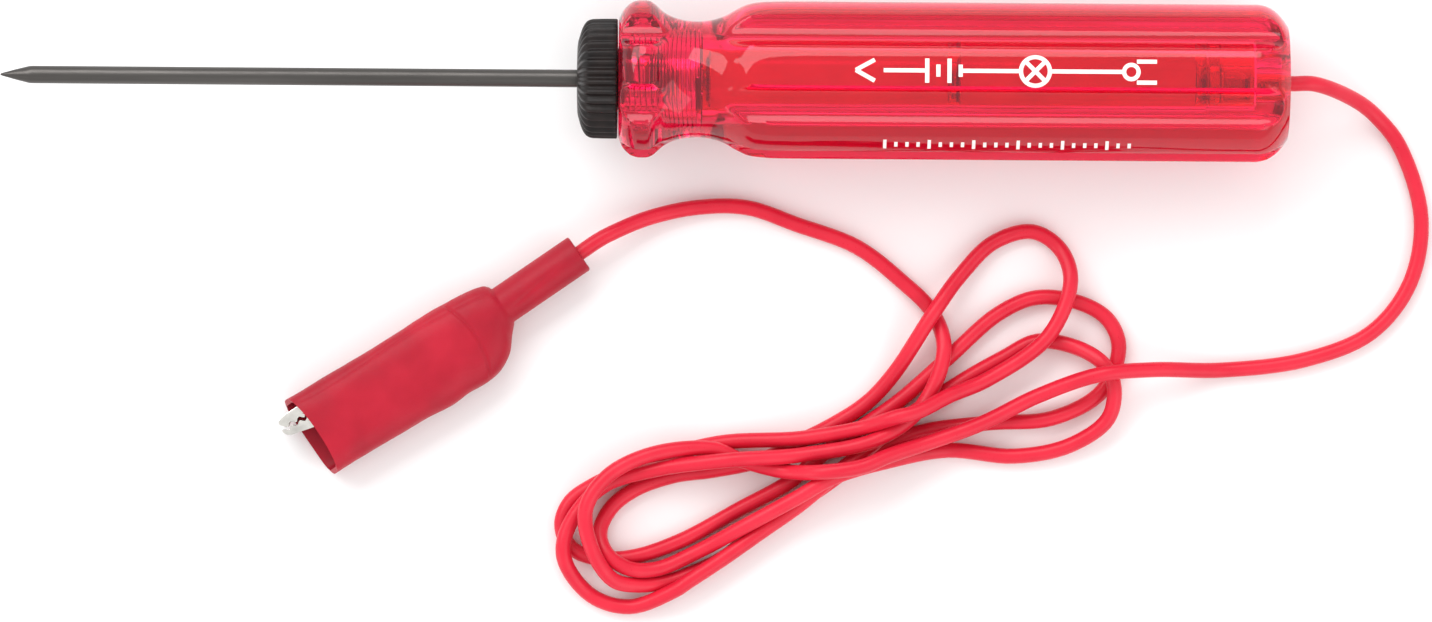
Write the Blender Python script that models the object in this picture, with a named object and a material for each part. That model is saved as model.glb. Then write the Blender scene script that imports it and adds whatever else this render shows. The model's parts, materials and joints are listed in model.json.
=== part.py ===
"""Hand-held continuity tester: fluted clear handle, screw cap with a probe, two AAA cells, a lamp
in the butt, and a free lead that ends in an insulated alligator clip.

Metres, +Z up. The tester lies along X on the plane z = 0, probe towards -X, lead leaving at +X.
The origin is under the middle of the tester's length. Lengths below are in millimetres and are
multiplied by MM where a mesh is made. Positions along the tester are measured from the front face
of the handle, and positions in the clip from the middle of the boot's mouth."""

import math

import bmesh
import bpy
from mathutils import Matrix, Vector

MM = 0.001
GAP = 0.3

# Tester, from the front face of the handle
HANDLE_LENGTH = 120.9
PROBE_REACH = 112.0
HANDLE_RADIUS = 14.3
HANDLE_OUTLINE = [
    (0.0, 11.0), (0.9, 12.7), (2.7, 14.1), (5.4, 14.2), (6.4, 13.6), (8.1, 12.1), (9.9, 11.2),
    (12.0, 10.65), (14.2, 10.5), (16.6, 10.75), (19.0, 11.5), (21.0, 12.6), (23.2, 13.65),
    (25.5, 14.1), (32.0, 14.3), (115.5, 14.3), (117.3, 13.85), (118.8, 12.9), (120.0, 11.6),
    (120.9, 10.3),
]
FLUTES = 6
FLUTE_SPACING = 360.0 / FLUTES
FLUTE_AXIS_RADIUS = 16.0
FLUTE_CUT_RADIUS = 4.3
FLUTE_ANGLE = 20.2
FLUTE_STEPS = [-15.0, -11.0, -6.0, 0.0, 6.0, 11.0, 15.0, 25.0, 35.0]
RESTING_FACET = 10.0
BULB_RADIUS, BULB_CENTRE = 2.4, 111.2

THREAD_PITCH = 1.0
THREAD_START = 0.4
THREAD_SIDES = 24
NUT_CREST, NUT_ROOT, NUT_TURNS = 5.9, 6.4, 13
SCREW_CREST, SCREW_ROOT, SCREW_TURNS = 6.1, 5.55, 13
MOUTH_RADIUS = 6.6
CELL_BORE_RADIUS, CELL_BORE_END = 5.6, 106.2
LAMP_BORE_RADIUS, LAMP_BORE_END = 5.0, 114.9
WIRE_HOLE_RADIUS = 1.75

CAP_FRONT, CAP_REAR = -7.6, -0.3
CAP_FLUTES = 36
CAP_FLUTE_DEPTH = 0.55
SPIGOT_END = 15.0
SPIGOT_BORE_RADIUS, SPIGOT_BORE_START = 4.6, 3.0
PROBE_RADIUS, PROBE_CONE, PROBE_POINT_RADIUS = 1.6, 5.4, 0.15
PROBE_REAR = 6.3
PROBE_HOLE_RADIUS = PROBE_RADIUS + GAP

CELL_LENGTH, CELL_NUB = 44.5, 0.8
CELL_FIRST, CELL_SPACING = 15.5, 44.7
CAN_RADIUS, SLEEVE_INNER, SLEEVE_OUTER = 4.7, 5.0, 5.25

# Clip, from the middle of the boot's mouth, u towards the lead and v towards the fixed jaw
CLIP_PLACE = (-60.2, -65.3)
CLIP_ANGLE = 34.75
BOOT_HALF_HEIGHT = 4.8
BOOT_WALL = 1.0
BOOT_TUBE_RADIUS, BOOT_TUBE_BORE = 3.6, 1.75
BOOT_LENGTH = 59.2
BOOT_SIDES = 28
MOUTH_SLANT = 1.1
PIVOT = (17.0, 0.5)
SHEET = 0.6
PIN_RADIUS, PIN_HALF_LENGTH = 1.0, 3.6
CUTTER_HALF_LENGTH = 5.0
TEETH, TOOTH_DEPTH = 7, 0.9
FIXED_HALF_WIDTH, MOVING_HALF_WIDTH = 3.0, 2.1

# Lead
LEAD_RADIUS = 1.4
CORE_RADIUS = 0.55
LEAD_POINTS = 80
LEAD_INSIDE_BUTT = 4.7
LEAD_END_IN_BOOT = 44.5
CURVE_STEPS = 16

AXIS_Z = HANDLE_RADIUS * math.cos(math.radians(RESTING_FACET / 2))
HANDLE_FRONT = (PROBE_REACH - HANDLE_LENGTH) / 2
CLIP_Z = BOOT_HALF_HEIGHT + 0.05

# Route of the lead on the table: x, y, and the level of its centre above its resting height, in lead diameters
ROUTE = [
    (130, -3, 1.6), (134, -6, 0.5), (138, -11, 0), (142, -24, 0), (140, -36, 0), (133, -45, 0),
    (121, -50, 0), (106, -52, 0), (93, -52, 1.6), (83, -53, 2.3), (72, -57, 1.2), (62, -62, 1.3),
    (51, -66, 1.8), (45, -68, 2.6), (40, -70, 3.1), (33, -71, 3), (26, -71, 1.3), (18, -69, 1),
    (13, -67, 1.2), (2, -68, 1.8), (-6, -72, 2.1), (-10, -78, 2.1), (-9, -85, 2), (-5, -91, 1.2),
    (0, -92, 0.4), (6, -91, 0), (15, -87, 0), (21, -82, 0), (27, -78, 0), (33, -74, 0),
    (40, -69, 0), (50, -64, 0), (63, -62, 0), (75, -61, 0), (84, -56, 0), (87, -48, 0),
    (85, -43, 0), (80, -40, 0), (72, -39, 0), (65, -42, 0), (56, -50, 0), (47, -58, 0),
    (40, -63, 0), (33, -68, 0), (27, -73, 0), (18, -78, 0), (7, -84, 0), (-2, -87, 0),
    (-9, -87, 0), (-13, -85, 0), (-14.5, -81, 0), (-13, -77, 0), (-9, -74, 0), (0, -70, 0),
    (14, -66, 0.2), (29, -65, 1.1), (40, -63, 1.6), (46, -61, 2.7), (50, -60, 2.6),
    (56, -57, 1.8), (63, -54, 1),
    (74, -46, 1.2), (78, -36, 1), (76, -30, 0.2), (71, -27, 0), (64, -29, 0), (58, -35, 0.4),
    (53, -42, 1.2), (46, -53, 0.4), (41, -58.5, 0), (34, -63, 0), (29, -65.5, 0), (22, -69, 0),
    (13, -71, 0), (6, -72, 0), (-1, -74.5, 0), (-5.5, -78, 0), (-7.5, -82.5, 0.4),
    (-6, -86.5, 1), (-2, -89, 0.9), (3, -89, 0.6), (10, -86, 0.5), (19, -81, 1.5), (28, -76, 2),
    (35, -72, 2.2), (45, -69, 1.4), (56, -67, 0), (68, -68, 0), (78, -66, 0.2), (85, -61, 0.8),
    (86, -55, 1.1), (84, -51, 1.1), (79, -48, 0.3), (72, -47, 0), (66, -50, 0), (59, -54, 0),
    (47, -62, 0.4), (41, -67, 1), (36, -71, 1.1), (29, -77, 1), (22, -82, 1), (15, -87, 1),
    (9, -91, 1), (6, -93, 0.8), (-2, -96, 0), (-9, -94, 0), (-14, -87, 1), (-13, -81, 1),
    (-7, -74, 1), (2, -71, 1.2), (16, -69, 2.1), (29, -68, 1.7), (43, -65, 2), (51, -59, 1.2),
    (55, -49, 1), (53, -42, 0), (47, -36, 0), (39, -30, 0), (28, -26, 0), (19, -23, 0),
    (10, -23, 0.1), (1, -25, 0.5), (-6, -28, 1.1),
]


# ---------------------------------------------------------------- helpers
def material(name, colour, roughness, metallic=0.0, transmission=0.0):
    found = bpy.data.materials.get(name) or bpy.data.materials.new(name)
    found.use_nodes = True
    shader = found.node_tree.nodes["Principled BSDF"]
    shader.inputs["Base Color"].default_value = (*colour, 1.0)
    shader.inputs["Roughness"].default_value = roughness
    shader.inputs["Metallic"].default_value = metallic
    shader.inputs["Transmission Weight"].default_value = transmission
    return found


def finish_object(name, bm, look, matrix, sharp_angle=35.0):
    """Makes an object from a closed bmesh given in millimetres, placed by matrix."""
    bmesh.ops.recalc_face_normals(bm, faces=bm.faces)
    bmesh.ops.scale(bm, vec=(MM, MM, MM), verts=bm.verts)
    mesh = bpy.data.meshes.new(name)
    bm.to_mesh(mesh)
    bm.free()
    mesh.shade_smooth()
    mesh.set_sharp_from_angle(angle=math.radians(sharp_angle))
    mesh.materials.append(look)
    made = bpy.data.objects.new(name, mesh)
    made.matrix_world = matrix
    bpy.context.scene.collection.objects.link(made)
    return made


def on_axis(along=0.0):
    """Places a piece on the tester's axis, at a distance from the handle's front face."""
    return Matrix.Translation(((HANDLE_FRONT + along) * MM, 0.0, AXIS_Z * MM))


def in_clip(u=0.0, v=0.0):
    place = Matrix.Translation((CLIP_PLACE[0] * MM, CLIP_PLACE[1] * MM, CLIP_Z * MM))
    turn = Matrix.Rotation(math.radians(CLIP_ANGLE), 4, "Z")
    return place @ turn @ Matrix.Translation((u * MM, v * MM, 0.0))


def ring(bm, along, radius_at, angles):
    """A ring round X. Angles, in degrees, turn by the right-hand rule about +X from +Z."""
    made = []
    for angle in angles:
        radius = radius_at(angle) if callable(radius_at) else radius_at
        turn = math.radians(angle)
        made.append(bm.verts.new((along, -radius * math.sin(turn), radius * math.cos(turn))))
    return made


def even_angles(count):
    return [360.0 * i / count for i in range(count)]


def join_rings(bm, first, second):
    """Quads between two rings with the same number of points."""
    count = len(first)
    for i in range(count):
        j = (i + 1) % count
        bm.faces.new((first[i], first[j], second[j], second[i]))


def zip_rings(bm, first, first_angles, second, second_angles):
    """Triangles between two rings whose points stand at different angles."""
    i = j = 0
    while i < len(first) or j < len(second):
        next_i = first_angles[i + 1] if i + 1 < len(first) else first_angles[0] + 360.0
        next_j = second_angles[j + 1] if j + 1 < len(second) else second_angles[0] + 360.0
        a, b = first[i % len(first)], second[j % len(second)]
        if j >= len(second) or (i < len(first) and next_i <= next_j):
            bm.faces.new((a, first[(i + 1) % len(first)], b))
            i += 1
        else:
            bm.faces.new((a, second[(j + 1) % len(second)], b))
            j += 1


def thread(bm, before, start, pitch, turns, low, high, after_at):
    """A right-hand V thread between ring before and a new ring at after_at, which is returned."""
    count = len(before)
    angles = even_angles(count)
    steps = 2
    last = steps * turns
    columns = []
    for i, angle in enumerate(angles):
        turn = math.radians(angle)
        column = []
        for k in range(last + 1):
            radius = high if k % 2 else low
            along = start + pitch * (k / steps + i / count)
            place = (along, -radius * math.sin(turn), radius * math.cos(turn))
            column.append(bm.verts.new(place))
        columns.append(column)
    after = ring(bm, after_at, low, angles)
    for i in range(count - 1):
        here, there = columns[i], columns[i + 1]
        bm.faces.new((before[i], before[i + 1], there[0], here[0]))
        for k in range(last):
            bm.faces.new((here[k], there[k], there[k + 1], here[k + 1]))
        bm.faces.new((here[last], there[last], after[i + 1], after[i]))
    end, first = columns[-1], columns[0]
    for k in range(last - steps):
        bm.faces.new((end[k], first[k + steps], first[k + steps + 1], end[k + 1]))
    for k in range(steps):
        bm.faces.new((end[0], first[k + 1], first[k]))
        bm.faces.new((first[last], end[last - k], end[last - k - 1]))
    bm.faces.new((before[-1], before[0], first[0], end[0]))
    bm.faces.new((end[last], first[last], after[0], after[-1]))
    return after


def turned(name, profile, look, matrix, sides=24, hollow=False):
    """A body turned about X from (along, radius) points: a loop if hollow, else closed at its ends."""
    bm = bmesh.new()
    angles = even_angles(sides)
    rings = [ring(bm, along, radius, angles) for along, radius in profile]
    for first, second in zip(rings, rings[1:]):
        join_rings(bm, first, second)
    if hollow:
        join_rings(bm, rings[-1], rings[0])
    else:
        bm.faces.new(rings[0])
        bm.faces.new(rings[-1])
    return finish_object(name, bm, look, matrix)


def tube_along(name, points, radius, look, matrix, sides=6):
    """A round closed tube that follows points, in millimetres."""
    bm = bmesh.new()
    path = [Vector(p) for p in points]
    normal = None
    rings = []
    for i, here in enumerate(path):
        ahead = path[min(i + 1, len(path) - 1)] - path[max(i - 1, 0)]
        ahead.normalize()
        if normal is None:
            normal = ahead.orthogonal().normalized()
        normal = (normal - ahead * normal.dot(ahead)).normalized()
        side = ahead.cross(normal)
        made = []
        for k in range(sides):
            turn = 2 * math.pi * k / sides
            offset = normal * math.cos(turn) + side * math.sin(turn)
            made.append(bm.verts.new(here + offset * radius))
        rings.append(made)
    for first, second in zip(rings, rings[1:]):
        join_rings(bm, first, second)
    bm.faces.new(rings[0])
    bm.faces.new(rings[-1])
    return finish_object(name, bm, look, matrix)


def plate(name, outline, half_width, look, matrix):
    """A closed outline in the clip's u, v plane, made solid along Z."""
    bm = bmesh.new()
    low = [bm.verts.new((u, v, -half_width)) for u, v in outline]
    face = bm.faces.new(low)
    made = bmesh.ops.extrude_face_region(bm, geom=[face])
    lifted = [g for g in made["geom"] if isinstance(g, bmesh.types.BMVert)]
    bmesh.ops.translate(bm, verts=lifted, vec=(0.0, 0.0, 2 * half_width))
    return finish_object(name, bm, look, matrix, sharp_angle=30.0)


def cut(body, cutter):
    """Subtracts cutter from body with a Boolean modifier, and keeps cutter as a hidden guide."""
    cutter.hide_render = True
    cutter.display_type = "WIRE"
    step = body.modifiers.new(cutter.name, "BOOLEAN")
    step.operation = "DIFFERENCE"
    step.solver = "EXACT"
    step.object = cutter


def smooth_curve(points, count):
    """Points evenly spaced along a centripetal Catmull-Rom curve through points."""
    knots = [Vector(p) for p in points]
    knots = [2 * knots[0] - knots[1]] + knots + [2 * knots[-1] - knots[-2]]
    fine = []
    for a, b, c, d in zip(knots, knots[1:], knots[2:], knots[3:]):
        t1 = math.sqrt((b - a).length)
        t2 = t1 + math.sqrt((c - b).length)
        t3 = t2 + math.sqrt((d - c).length)
        for step in range(CURVE_STEPS):
            t = t1 + (t2 - t1) * step / CURVE_STEPS
            ab = a * ((t1 - t) / t1) + b * (t / t1)
            bc = b * ((t2 - t) / (t2 - t1)) + c * ((t - t1) / (t2 - t1))
            cd = c * ((t3 - t) / (t3 - t2)) + d * ((t - t2) / (t3 - t2))
            abc = ab * ((t2 - t) / t2) + bc * (t / t2)
            bcd = bc * ((t3 - t) / (t3 - t1)) + cd * ((t - t1) / (t3 - t1))
            fine.append(abc * ((t2 - t) / (t2 - t1)) + bcd * ((t - t1) / (t2 - t1)))
    fine.append(knots[-2])
    reach = [0.0]
    for a, b in zip(fine, fine[1:]):
        reach.append(reach[-1] + (b - a).length)
    even = []
    i = 0
    for step in range(count):
        goal = reach[-1] * step / (count - 1)
        while i < len(fine) - 2 and reach[i + 1] < goal:
            i += 1
        share = (goal - reach[i]) / (reach[i + 1] - reach[i])
        even.append(fine[i].lerp(fine[i + 1], min(share, 1.0)))
    return even


# ---------------------------------------------------------------- handle
def flute_angles():
    return [FLUTE_ANGLE + FLUTE_SPACING * k + step for k in range(FLUTES) for step in FLUTE_STEPS]


def handle_radius(outline_radius):
    """The section at one station: a circle with six round-bottomed flutes cut into it."""
    widest = math.degrees(math.asin(FLUTE_CUT_RADIUS / FLUTE_AXIS_RADIUS))

    def radius_at(angle):
        off = (angle - FLUTE_ANGLE + FLUTE_SPACING / 2) % FLUTE_SPACING - FLUTE_SPACING / 2
        if abs(off) >= widest:
            return outline_radius
        turn = math.radians(off)
        chord = math.sqrt(FLUTE_CUT_RADIUS**2 - (FLUTE_AXIS_RADIUS * math.sin(turn)) ** 2)
        return min(outline_radius, FLUTE_AXIS_RADIUS * math.cos(turn) - chord)

    return radius_at


def make_handle(look):
    bm = bmesh.new()
    outer_angles = flute_angles()
    inner_angles = even_angles(THREAD_SIDES)
    outer = [ring(bm, along, handle_radius(radius), outer_angles) for along, radius in HANDLE_OUTLINE]
    for first, second in zip(outer, outer[1:]):
        join_rings(bm, first, second)
    mouth = ring(bm, 0.0, MOUTH_RADIUS, inner_angles)
    lead_in = ring(bm, THREAD_START, NUT_ROOT, inner_angles)
    join_rings(bm, mouth, lead_in)
    nut_start = THREAD_START + THREAD_PITCH / 2
    thread_end = nut_start + (NUT_TURNS + 1) * THREAD_PITCH + 0.1
    run_out = thread(
        bm, lead_in, nut_start, THREAD_PITCH, NUT_TURNS, NUT_ROOT, NUT_CREST, thread_end
    )
    bore = [run_out]
    for along, radius in (
        (thread_end + 0.3, CELL_BORE_RADIUS),
        (CELL_BORE_END, CELL_BORE_RADIUS),
        (CELL_BORE_END, LAMP_BORE_RADIUS),
        (LAMP_BORE_END, LAMP_BORE_RADIUS),
        (LAMP_BORE_END, WIRE_HOLE_RADIUS),
        (HANDLE_LENGTH, WIRE_HOLE_RADIUS),
    ):
        bore.append(ring(bm, along, radius, inner_angles))
    for first, second in zip(bore, bore[1:]):
        join_rings(bm, first, second)
    zip_rings(bm, outer[0], outer_angles, mouth, inner_angles)
    zip_rings(bm, outer[-1], outer_angles, bore[-1], inner_angles)
    return finish_object("handle_shell", bm, look, on_axis())


# ---------------------------------------------------------------- cap and probe
def cap_radius(radius, depth):
    """A fluted rim: the radius drops by depth half-way between ridges."""
    def radius_at(angle):
        return radius - depth * (0.5 - 0.5 * math.cos(math.radians(angle * CAP_FLUTES)))

    return radius_at


def make_cap(look):
    bm = bmesh.new()
    fine = even_angles(2 * CAP_FLUTES)
    coarse = even_angles(THREAD_SIDES)
    hole = ring(bm, CAP_FRONT, PROBE_HOLE_RADIUS, coarse)
    brow = ring(bm, CAP_FRONT + 0.1, 5.0, coarse)
    join_rings(bm, hole, brow)
    rim = []
    for along, radius, depth in (
        (-7.25, 7.2, 0.25), (-6.8, 8.8, 0.45), (-6.3, 10.0, CAP_FLUTE_DEPTH),
        (-5.4, 10.7, CAP_FLUTE_DEPTH), (CAP_REAR, 10.85, CAP_FLUTE_DEPTH),
    ):
        rim.append(ring(bm, along, cap_radius(radius, depth), fine))
    for first, second in zip(rim, rim[1:]):
        join_rings(bm, first, second)
    zip_rings(bm, brow, coarse, rim[0], fine)
    root = ring(bm, CAP_REAR, SCREW_ROOT, coarse)
    zip_rings(bm, rim[-1], fine, root, coarse)
    lead_in = ring(bm, THREAD_START / 2, SCREW_ROOT, coarse)
    join_rings(bm, root, lead_in)
    thread_end = THREAD_START + (SCREW_TURNS + 1) * THREAD_PITCH + 0.1
    inside = [thread(
        bm, lead_in, THREAD_START, THREAD_PITCH, SCREW_TURNS, SCREW_ROOT, SCREW_CREST, thread_end
    )]
    for along, radius in (
        (SPIGOT_END, SCREW_ROOT - 0.2),
        (SPIGOT_END, SPIGOT_BORE_RADIUS),
        (SPIGOT_BORE_START, SPIGOT_BORE_RADIUS),
        (SPIGOT_BORE_START, PROBE_HOLE_RADIUS),
    ):
        inside.append(ring(bm, along, radius, coarse))
    for first, second in zip(inside, inside[1:]):
        join_rings(bm, first, second)
    join_rings(bm, inside[-1], hole)
    return finish_object("threaded_cap", bm, look, on_axis())


def make_probe(steel, brass):
    cone_end = PROBE_CONE - PROBE_REACH
    turned("probe_shank", [
        (-PROBE_REACH, PROBE_POINT_RADIUS), (cone_end, PROBE_RADIUS),
        (PROBE_REAR - 0.3, PROBE_RADIUS), (PROBE_REAR, PROBE_RADIUS - 0.3),
    ], steel, on_axis(), sides=20)
    front, rear = SPIGOT_BORE_START + GAP, PROBE_REAR
    turned("probe_bushing", [
        (front, PROBE_HOLE_RADIUS), (front, SPIGOT_BORE_RADIUS - GAP),
        (rear - 0.8, SPIGOT_BORE_RADIUS - GAP), (rear, 3.2), (rear, PROBE_HOLE_RADIUS),
    ], brass, on_axis(), hollow=True)


# ---------------------------------------------------------------- what the handle holds
def make_contact_spring(steel, brass):
    front, rear, radius, wire = PROBE_REAR + GAP + 0.3, 13.4, 3.5, 0.3
    turns, steps = 5, 10
    points = []
    for i in range(turns * steps + 1):
        turn = 2 * math.pi * i / steps
        along = front + (rear - front) * i / (turns * steps)
        points.append((along, radius * math.cos(turn), radius * math.sin(turn)))
    tube_along("contact_spring", points, wire, steel, on_axis())
    turned("contact_button", [
        (14.0, 0.9), (14.0, 4.2), (14.6, 4.2), (14.8, 2.0), (15.2, 1.6),
    ], brass, on_axis())


def make_cell(place, first, steel, plate_look, sleeve_look):
    can_start = first + CELL_NUB
    can_end = first + CELL_LENGTH - 2 * GAP - 0.1
    turned(f"cell_{place}_can", [
        (first, 1.5), (first + 0.2, 1.9), (can_start, 1.9), (can_start, 4.2),
        (can_start + 0.5, CAN_RADIUS), (can_end, CAN_RADIUS),
    ], steel, on_axis())
    turned(f"cell_{place}_negative_plate", [
        (can_end + GAP, 4.3), (first + CELL_LENGTH, 4.3),
    ], plate_look, on_axis())
    turned(f"cell_{place}_sleeve", [
        (can_start + 0.7, SLEEVE_INNER), (can_start + 0.7, SLEEVE_OUTER),
        (can_end, SLEEVE_OUTER), (can_end, SLEEVE_INNER),
    ], sleeve_look, on_axis(), hollow=True)


def make_lamp(glass, brass, solder):
    turned("lamp_tip_contact", [(105.0, 0.6), (105.2, 1.0), (105.7, 1.0)], solder, on_axis(), 16)
    turned("lamp_base", [
        (106.0, 1.5), (106.7, 2.6), (108.6, 2.6), (108.6, 3.5), (109.1, 3.5),
    ], brass, on_axis())
    dome = []
    for step in range(1, 5):
        turn = math.radians(20.0 * step)
        dome.append((BULB_CENTRE + BULB_RADIUS * math.sin(turn), BULB_RADIUS * math.cos(turn)))
    bulb = [(109.4, 2.0), (109.9, BULB_RADIUS), (BULB_CENTRE, BULB_RADIUS)] + dome
    turned("lamp_glass", bulb, glass, on_axis())
    turned("lamp_socket", [
        (106.5, 2.9), (106.5, 4.7), (108.3, 4.7), (108.3, 2.9),
    ], brass, on_axis(), hollow=True)


def make_lead_terminal(brass, copper):
    """A bent strip from the lamp socket to the middle of the butt, and the bare end of the lead."""
    bm = bmesh.new()
    outline = [
        (108.6, -4.6), (114.3, -4.6), (114.3, 1.0), (113.9, 1.0), (113.9, -4.15), (108.6, -4.15),
    ]
    near = [bm.verts.new((x, -1.2, z)) for x, z in outline]
    far = [bm.verts.new((x, 1.2, z)) for x, z in outline]
    bm.faces.new(near)
    bm.faces.new(far)
    join_rings(bm, near, far)
    finish_object("lead_terminal", bm, brass, on_axis())
    turned("lead_core_at_lamp", [(114.6, CORE_RADIUS), (115.9, CORE_RADIUS)], copper, on_axis(), 10)


# ---------------------------------------------------------------- clip
def teeth(start, end, count, depth):
    """A zigzag line of teeth from start to end, with the points on the side that depth says."""
    made = []
    run = Vector(end) - Vector(start)
    side = Vector((-run.y, run.x)).normalized() * depth
    for i in range(count):
        made.append(tuple(Vector(start) + run * (i / count)))
        made.append(tuple(Vector(start) + run * ((i + 0.5) / count) + side))
    made.append(tuple(end))
    return made


def relative_to(origin, outline):
    return [(u - origin[0], v - origin[1]) for u, v in outline]


def make_fixed_jaw(look):
    outer = [
        (37.6, 1.2), (37.6, 2.4), (33.0, 4.1), (26.0, 4.4), (17.0, 4.6), (10.0, 5.2), (2.0, 5.9),
        (-2.2, 5.9), (-3.0, 5.2),
    ]
    bite = teeth((-3.0, 4.7), (9.0, 3.7), TEETH, -TOOTH_DEPTH)
    inner = [(12.0, 1.6), (14.6, -1.2), (19.4, -1.2), (22.0, 1.4), (26.0, 3.3), (33.0, 3.0), (36.6, 1.2)]
    body = plate("clip_fixed_jaw", outer + bite + inner, FIXED_HALF_WIDTH, look, in_clip())
    hollow = [
        (36.0, 0.0), (36.0, 2.3), (32.8, 3.5), (26.0, 3.8), (17.0, 4.0), (10.0, 4.6), (2.0, 5.3),
        (-1.5, 5.3), (-1.5, 2.0), (10.0, -3.0), (24.0, -3.0),
    ]
    cut(body, plate("cut_fixed_jaw", hollow, FIXED_HALF_WIDTH - SHEET, look, in_clip()))
    cut(body, drill("cut_fixed_pivot", PIN_RADIUS + GAP, CUTTER_HALF_LENGTH, look, in_clip(*PIVOT)))


def drill(name, radius, half_length, look, matrix):
    """A round cutter or pin along Z."""
    bm = bmesh.new()
    bmesh.ops.create_cone(
        bm, cap_ends=True, segments=16, radius1=radius, radius2=radius, depth=2 * half_length
    )
    return finish_object(name, bm, look, matrix)


def make_moving_jaw(look):
    outer = [
        (35.0, -8.2), (31.0, -8.4), (24.0, -7.6), (17.0, -4.2), (12.0, -2.6), (5.0, 0.2),
        (-1.5, 2.1), (-3.2, 3.2),
    ]
    bite = teeth((-3.3, 4.0), (8.7, 3.0), TEETH, -TOOTH_DEPTH)
    inner = [(12.0, 2.4), (19.2, 2.4), (22.5, -1.8), (26.0, -6.0), (31.0, -7.2), (35.0, -7.2)]
    outline = relative_to(PIVOT, outer + bite + inner)
    body = plate("clip_moving_jaw", outline, MOVING_HALF_WIDTH, look, in_clip(*PIVOT))
    hollow = relative_to(PIVOT, [
        (36.0, -7.6), (31.0, -7.75), (24.0, -6.95), (17.0, -3.55), (12.0, -1.95), (5.0, 0.85),
        (-1.0, 2.65), (-1.0, 6.0), (22.0, 6.0), (36.0, 0.0),
    ])
    half = MOVING_HALF_WIDTH - SHEET
    cut(body, plate("cut_moving_jaw", hollow, half, look, in_clip(*PIVOT)))
    cut(body, drill("cut_moving_pivot", PIN_RADIUS + GAP, CUTTER_HALF_LENGTH, look, in_clip(*PIVOT)))


def make_clip_spring(look):
    """A torsion spring round the pivot pin, with a leg on each lever."""
    radius, wire, turns, steps, half = 1.85, 0.25, 2.5, 12, 1.2
    count = int(turns * steps)
    points = [(9.0, 2.7, -half)]
    for i in range(count + 1):
        turn = math.radians(60.0) - 2 * math.pi * i / steps
        lift = -half + 2 * half * i / count
        points.append((radius * math.cos(turn), radius * math.sin(turn), lift))
    points.append((9.0, -6.6, half))
    tube_along("clip_spring", points, wire, look, in_clip(*PIVOT))


def boot_ring(bm, u, up, down, height, power, slant=0.0):
    """One section of the boot: a superellipse that is wider on one side than on the other."""
    made = []
    for i in range(BOOT_SIDES):
        turn = 2 * math.pi * i / BOOT_SIDES
        across, lift = math.cos(turn), math.sin(turn)
        v = math.copysign(abs(across) ** (2 / power), across) * (up if across > 0 else down)
        z = math.copysign(abs(lift) ** (2 / power), lift) * height
        made.append(bm.verts.new((u + slant * z / height, v, z)))
    return made


def make_boot(look):
    bm = bmesh.new()
    tall, tube, bore = BOOT_HALF_HEIGHT, BOOT_TUBE_RADIUS, BOOT_TUBE_BORE
    outside = [
        (0.0, 8.1, 8.1, tall, 3.6), (7.9, 7.6, 8.5, tall, 3.6), (14.0, 7.2, 8.8, tall, 3.6),
        (19.7, 6.9, 9.2, tall, 3.5), (24.4, 6.7, 9.85, tall, 3.4), (32.1, 6.5, 9.95, tall, 3.2),
        (35.4, 6.2, 9.5, tall, 3.0), (38.6, 5.7, 7.8, 4.6, 2.5), (40.6, 5.2, 5.5, 4.3, 2.2),
        (42.6, tube, tube, tube, 2.0), (BOOT_LENGTH, tube, tube, tube, 2.0),
    ]
    inside = [
        (u, up - BOOT_WALL, down - BOOT_WALL, height - BOOT_WALL, 1.4 * power)
        for u, up, down, height, power in outside[:8]
    ]
    inside += [(41.0, 3.4, 3.4, 3.0, 2.0), (43.8, 2.4, 2.4, 2.4, 2.0), (44.2, bore, bore, bore, 2.0)]
    inside.append((BOOT_LENGTH, bore, bore, bore, 2.0))
    rings = [boot_ring(bm, *outside[0], slant=MOUTH_SLANT)]
    rings += [boot_ring(bm, *station) for station in outside[1:]]
    rings += [boot_ring(bm, *station) for station in reversed(inside[1:])]
    rings.append(boot_ring(bm, *inside[0], slant=MOUTH_SLANT))
    for first, second in zip(rings, rings[1:] + rings[:1]):
        join_rings(bm, first, second)
    finish_object("clip_boot", bm, look, in_clip())


def make_clip(nickel, steel, vinyl, copper):
    make_fixed_jaw(nickel)
    make_moving_jaw(nickel)
    drill("clip_pivot_pin", PIN_RADIUS, PIN_HALF_LENGTH, nickel, in_clip(*PIVOT))
    make_clip_spring(steel)
    make_boot(vinyl)
    turned("clip_crimp", [(38.1, 0.85), (38.1, 1.7), (42.8, 1.7), (42.8, 0.85)], nickel, in_clip(),
           16, hollow=True)
    turned("lead_core_at_clip", [(38.4, CORE_RADIUS), (43.4, CORE_RADIUS)], copper, in_clip(), 10)


# ---------------------------------------------------------------- lead
def in_lead_line(u):
    """A point on the boot's axis, as world millimetres."""
    turn = math.radians(CLIP_ANGLE)
    return (CLIP_PLACE[0] + u * math.cos(turn), CLIP_PLACE[1] + u * math.sin(turn), CLIP_Z)


def lead_points():
    """The lead's centre line: straight in the butt and in the boot, and a smooth curve between."""
    butt = HANDLE_FRONT + HANDLE_LENGTH
    route = [(x, y, LEAD_RADIUS + level * 2 * LEAD_RADIUS) for x, y, level in ROUTE]
    knots = [(butt + 1.0, 0.0, AXIS_Z), (butt + 5.0, 0.0, AXIS_Z - 0.6)] + route
    knots += [in_lead_line(BOOT_LENGTH + 4.0), in_lead_line(BOOT_LENGTH + 0.5)]
    free = smooth_curve(knots, LEAD_POINTS)
    for place in free:
        place.z = max(place.z, LEAD_RADIUS)
    return [Vector((butt - LEAD_INSIDE_BUTT, 0.0, AXIS_Z))] + free + [Vector(in_lead_line(LEAD_END_IN_BOOT))]


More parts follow.
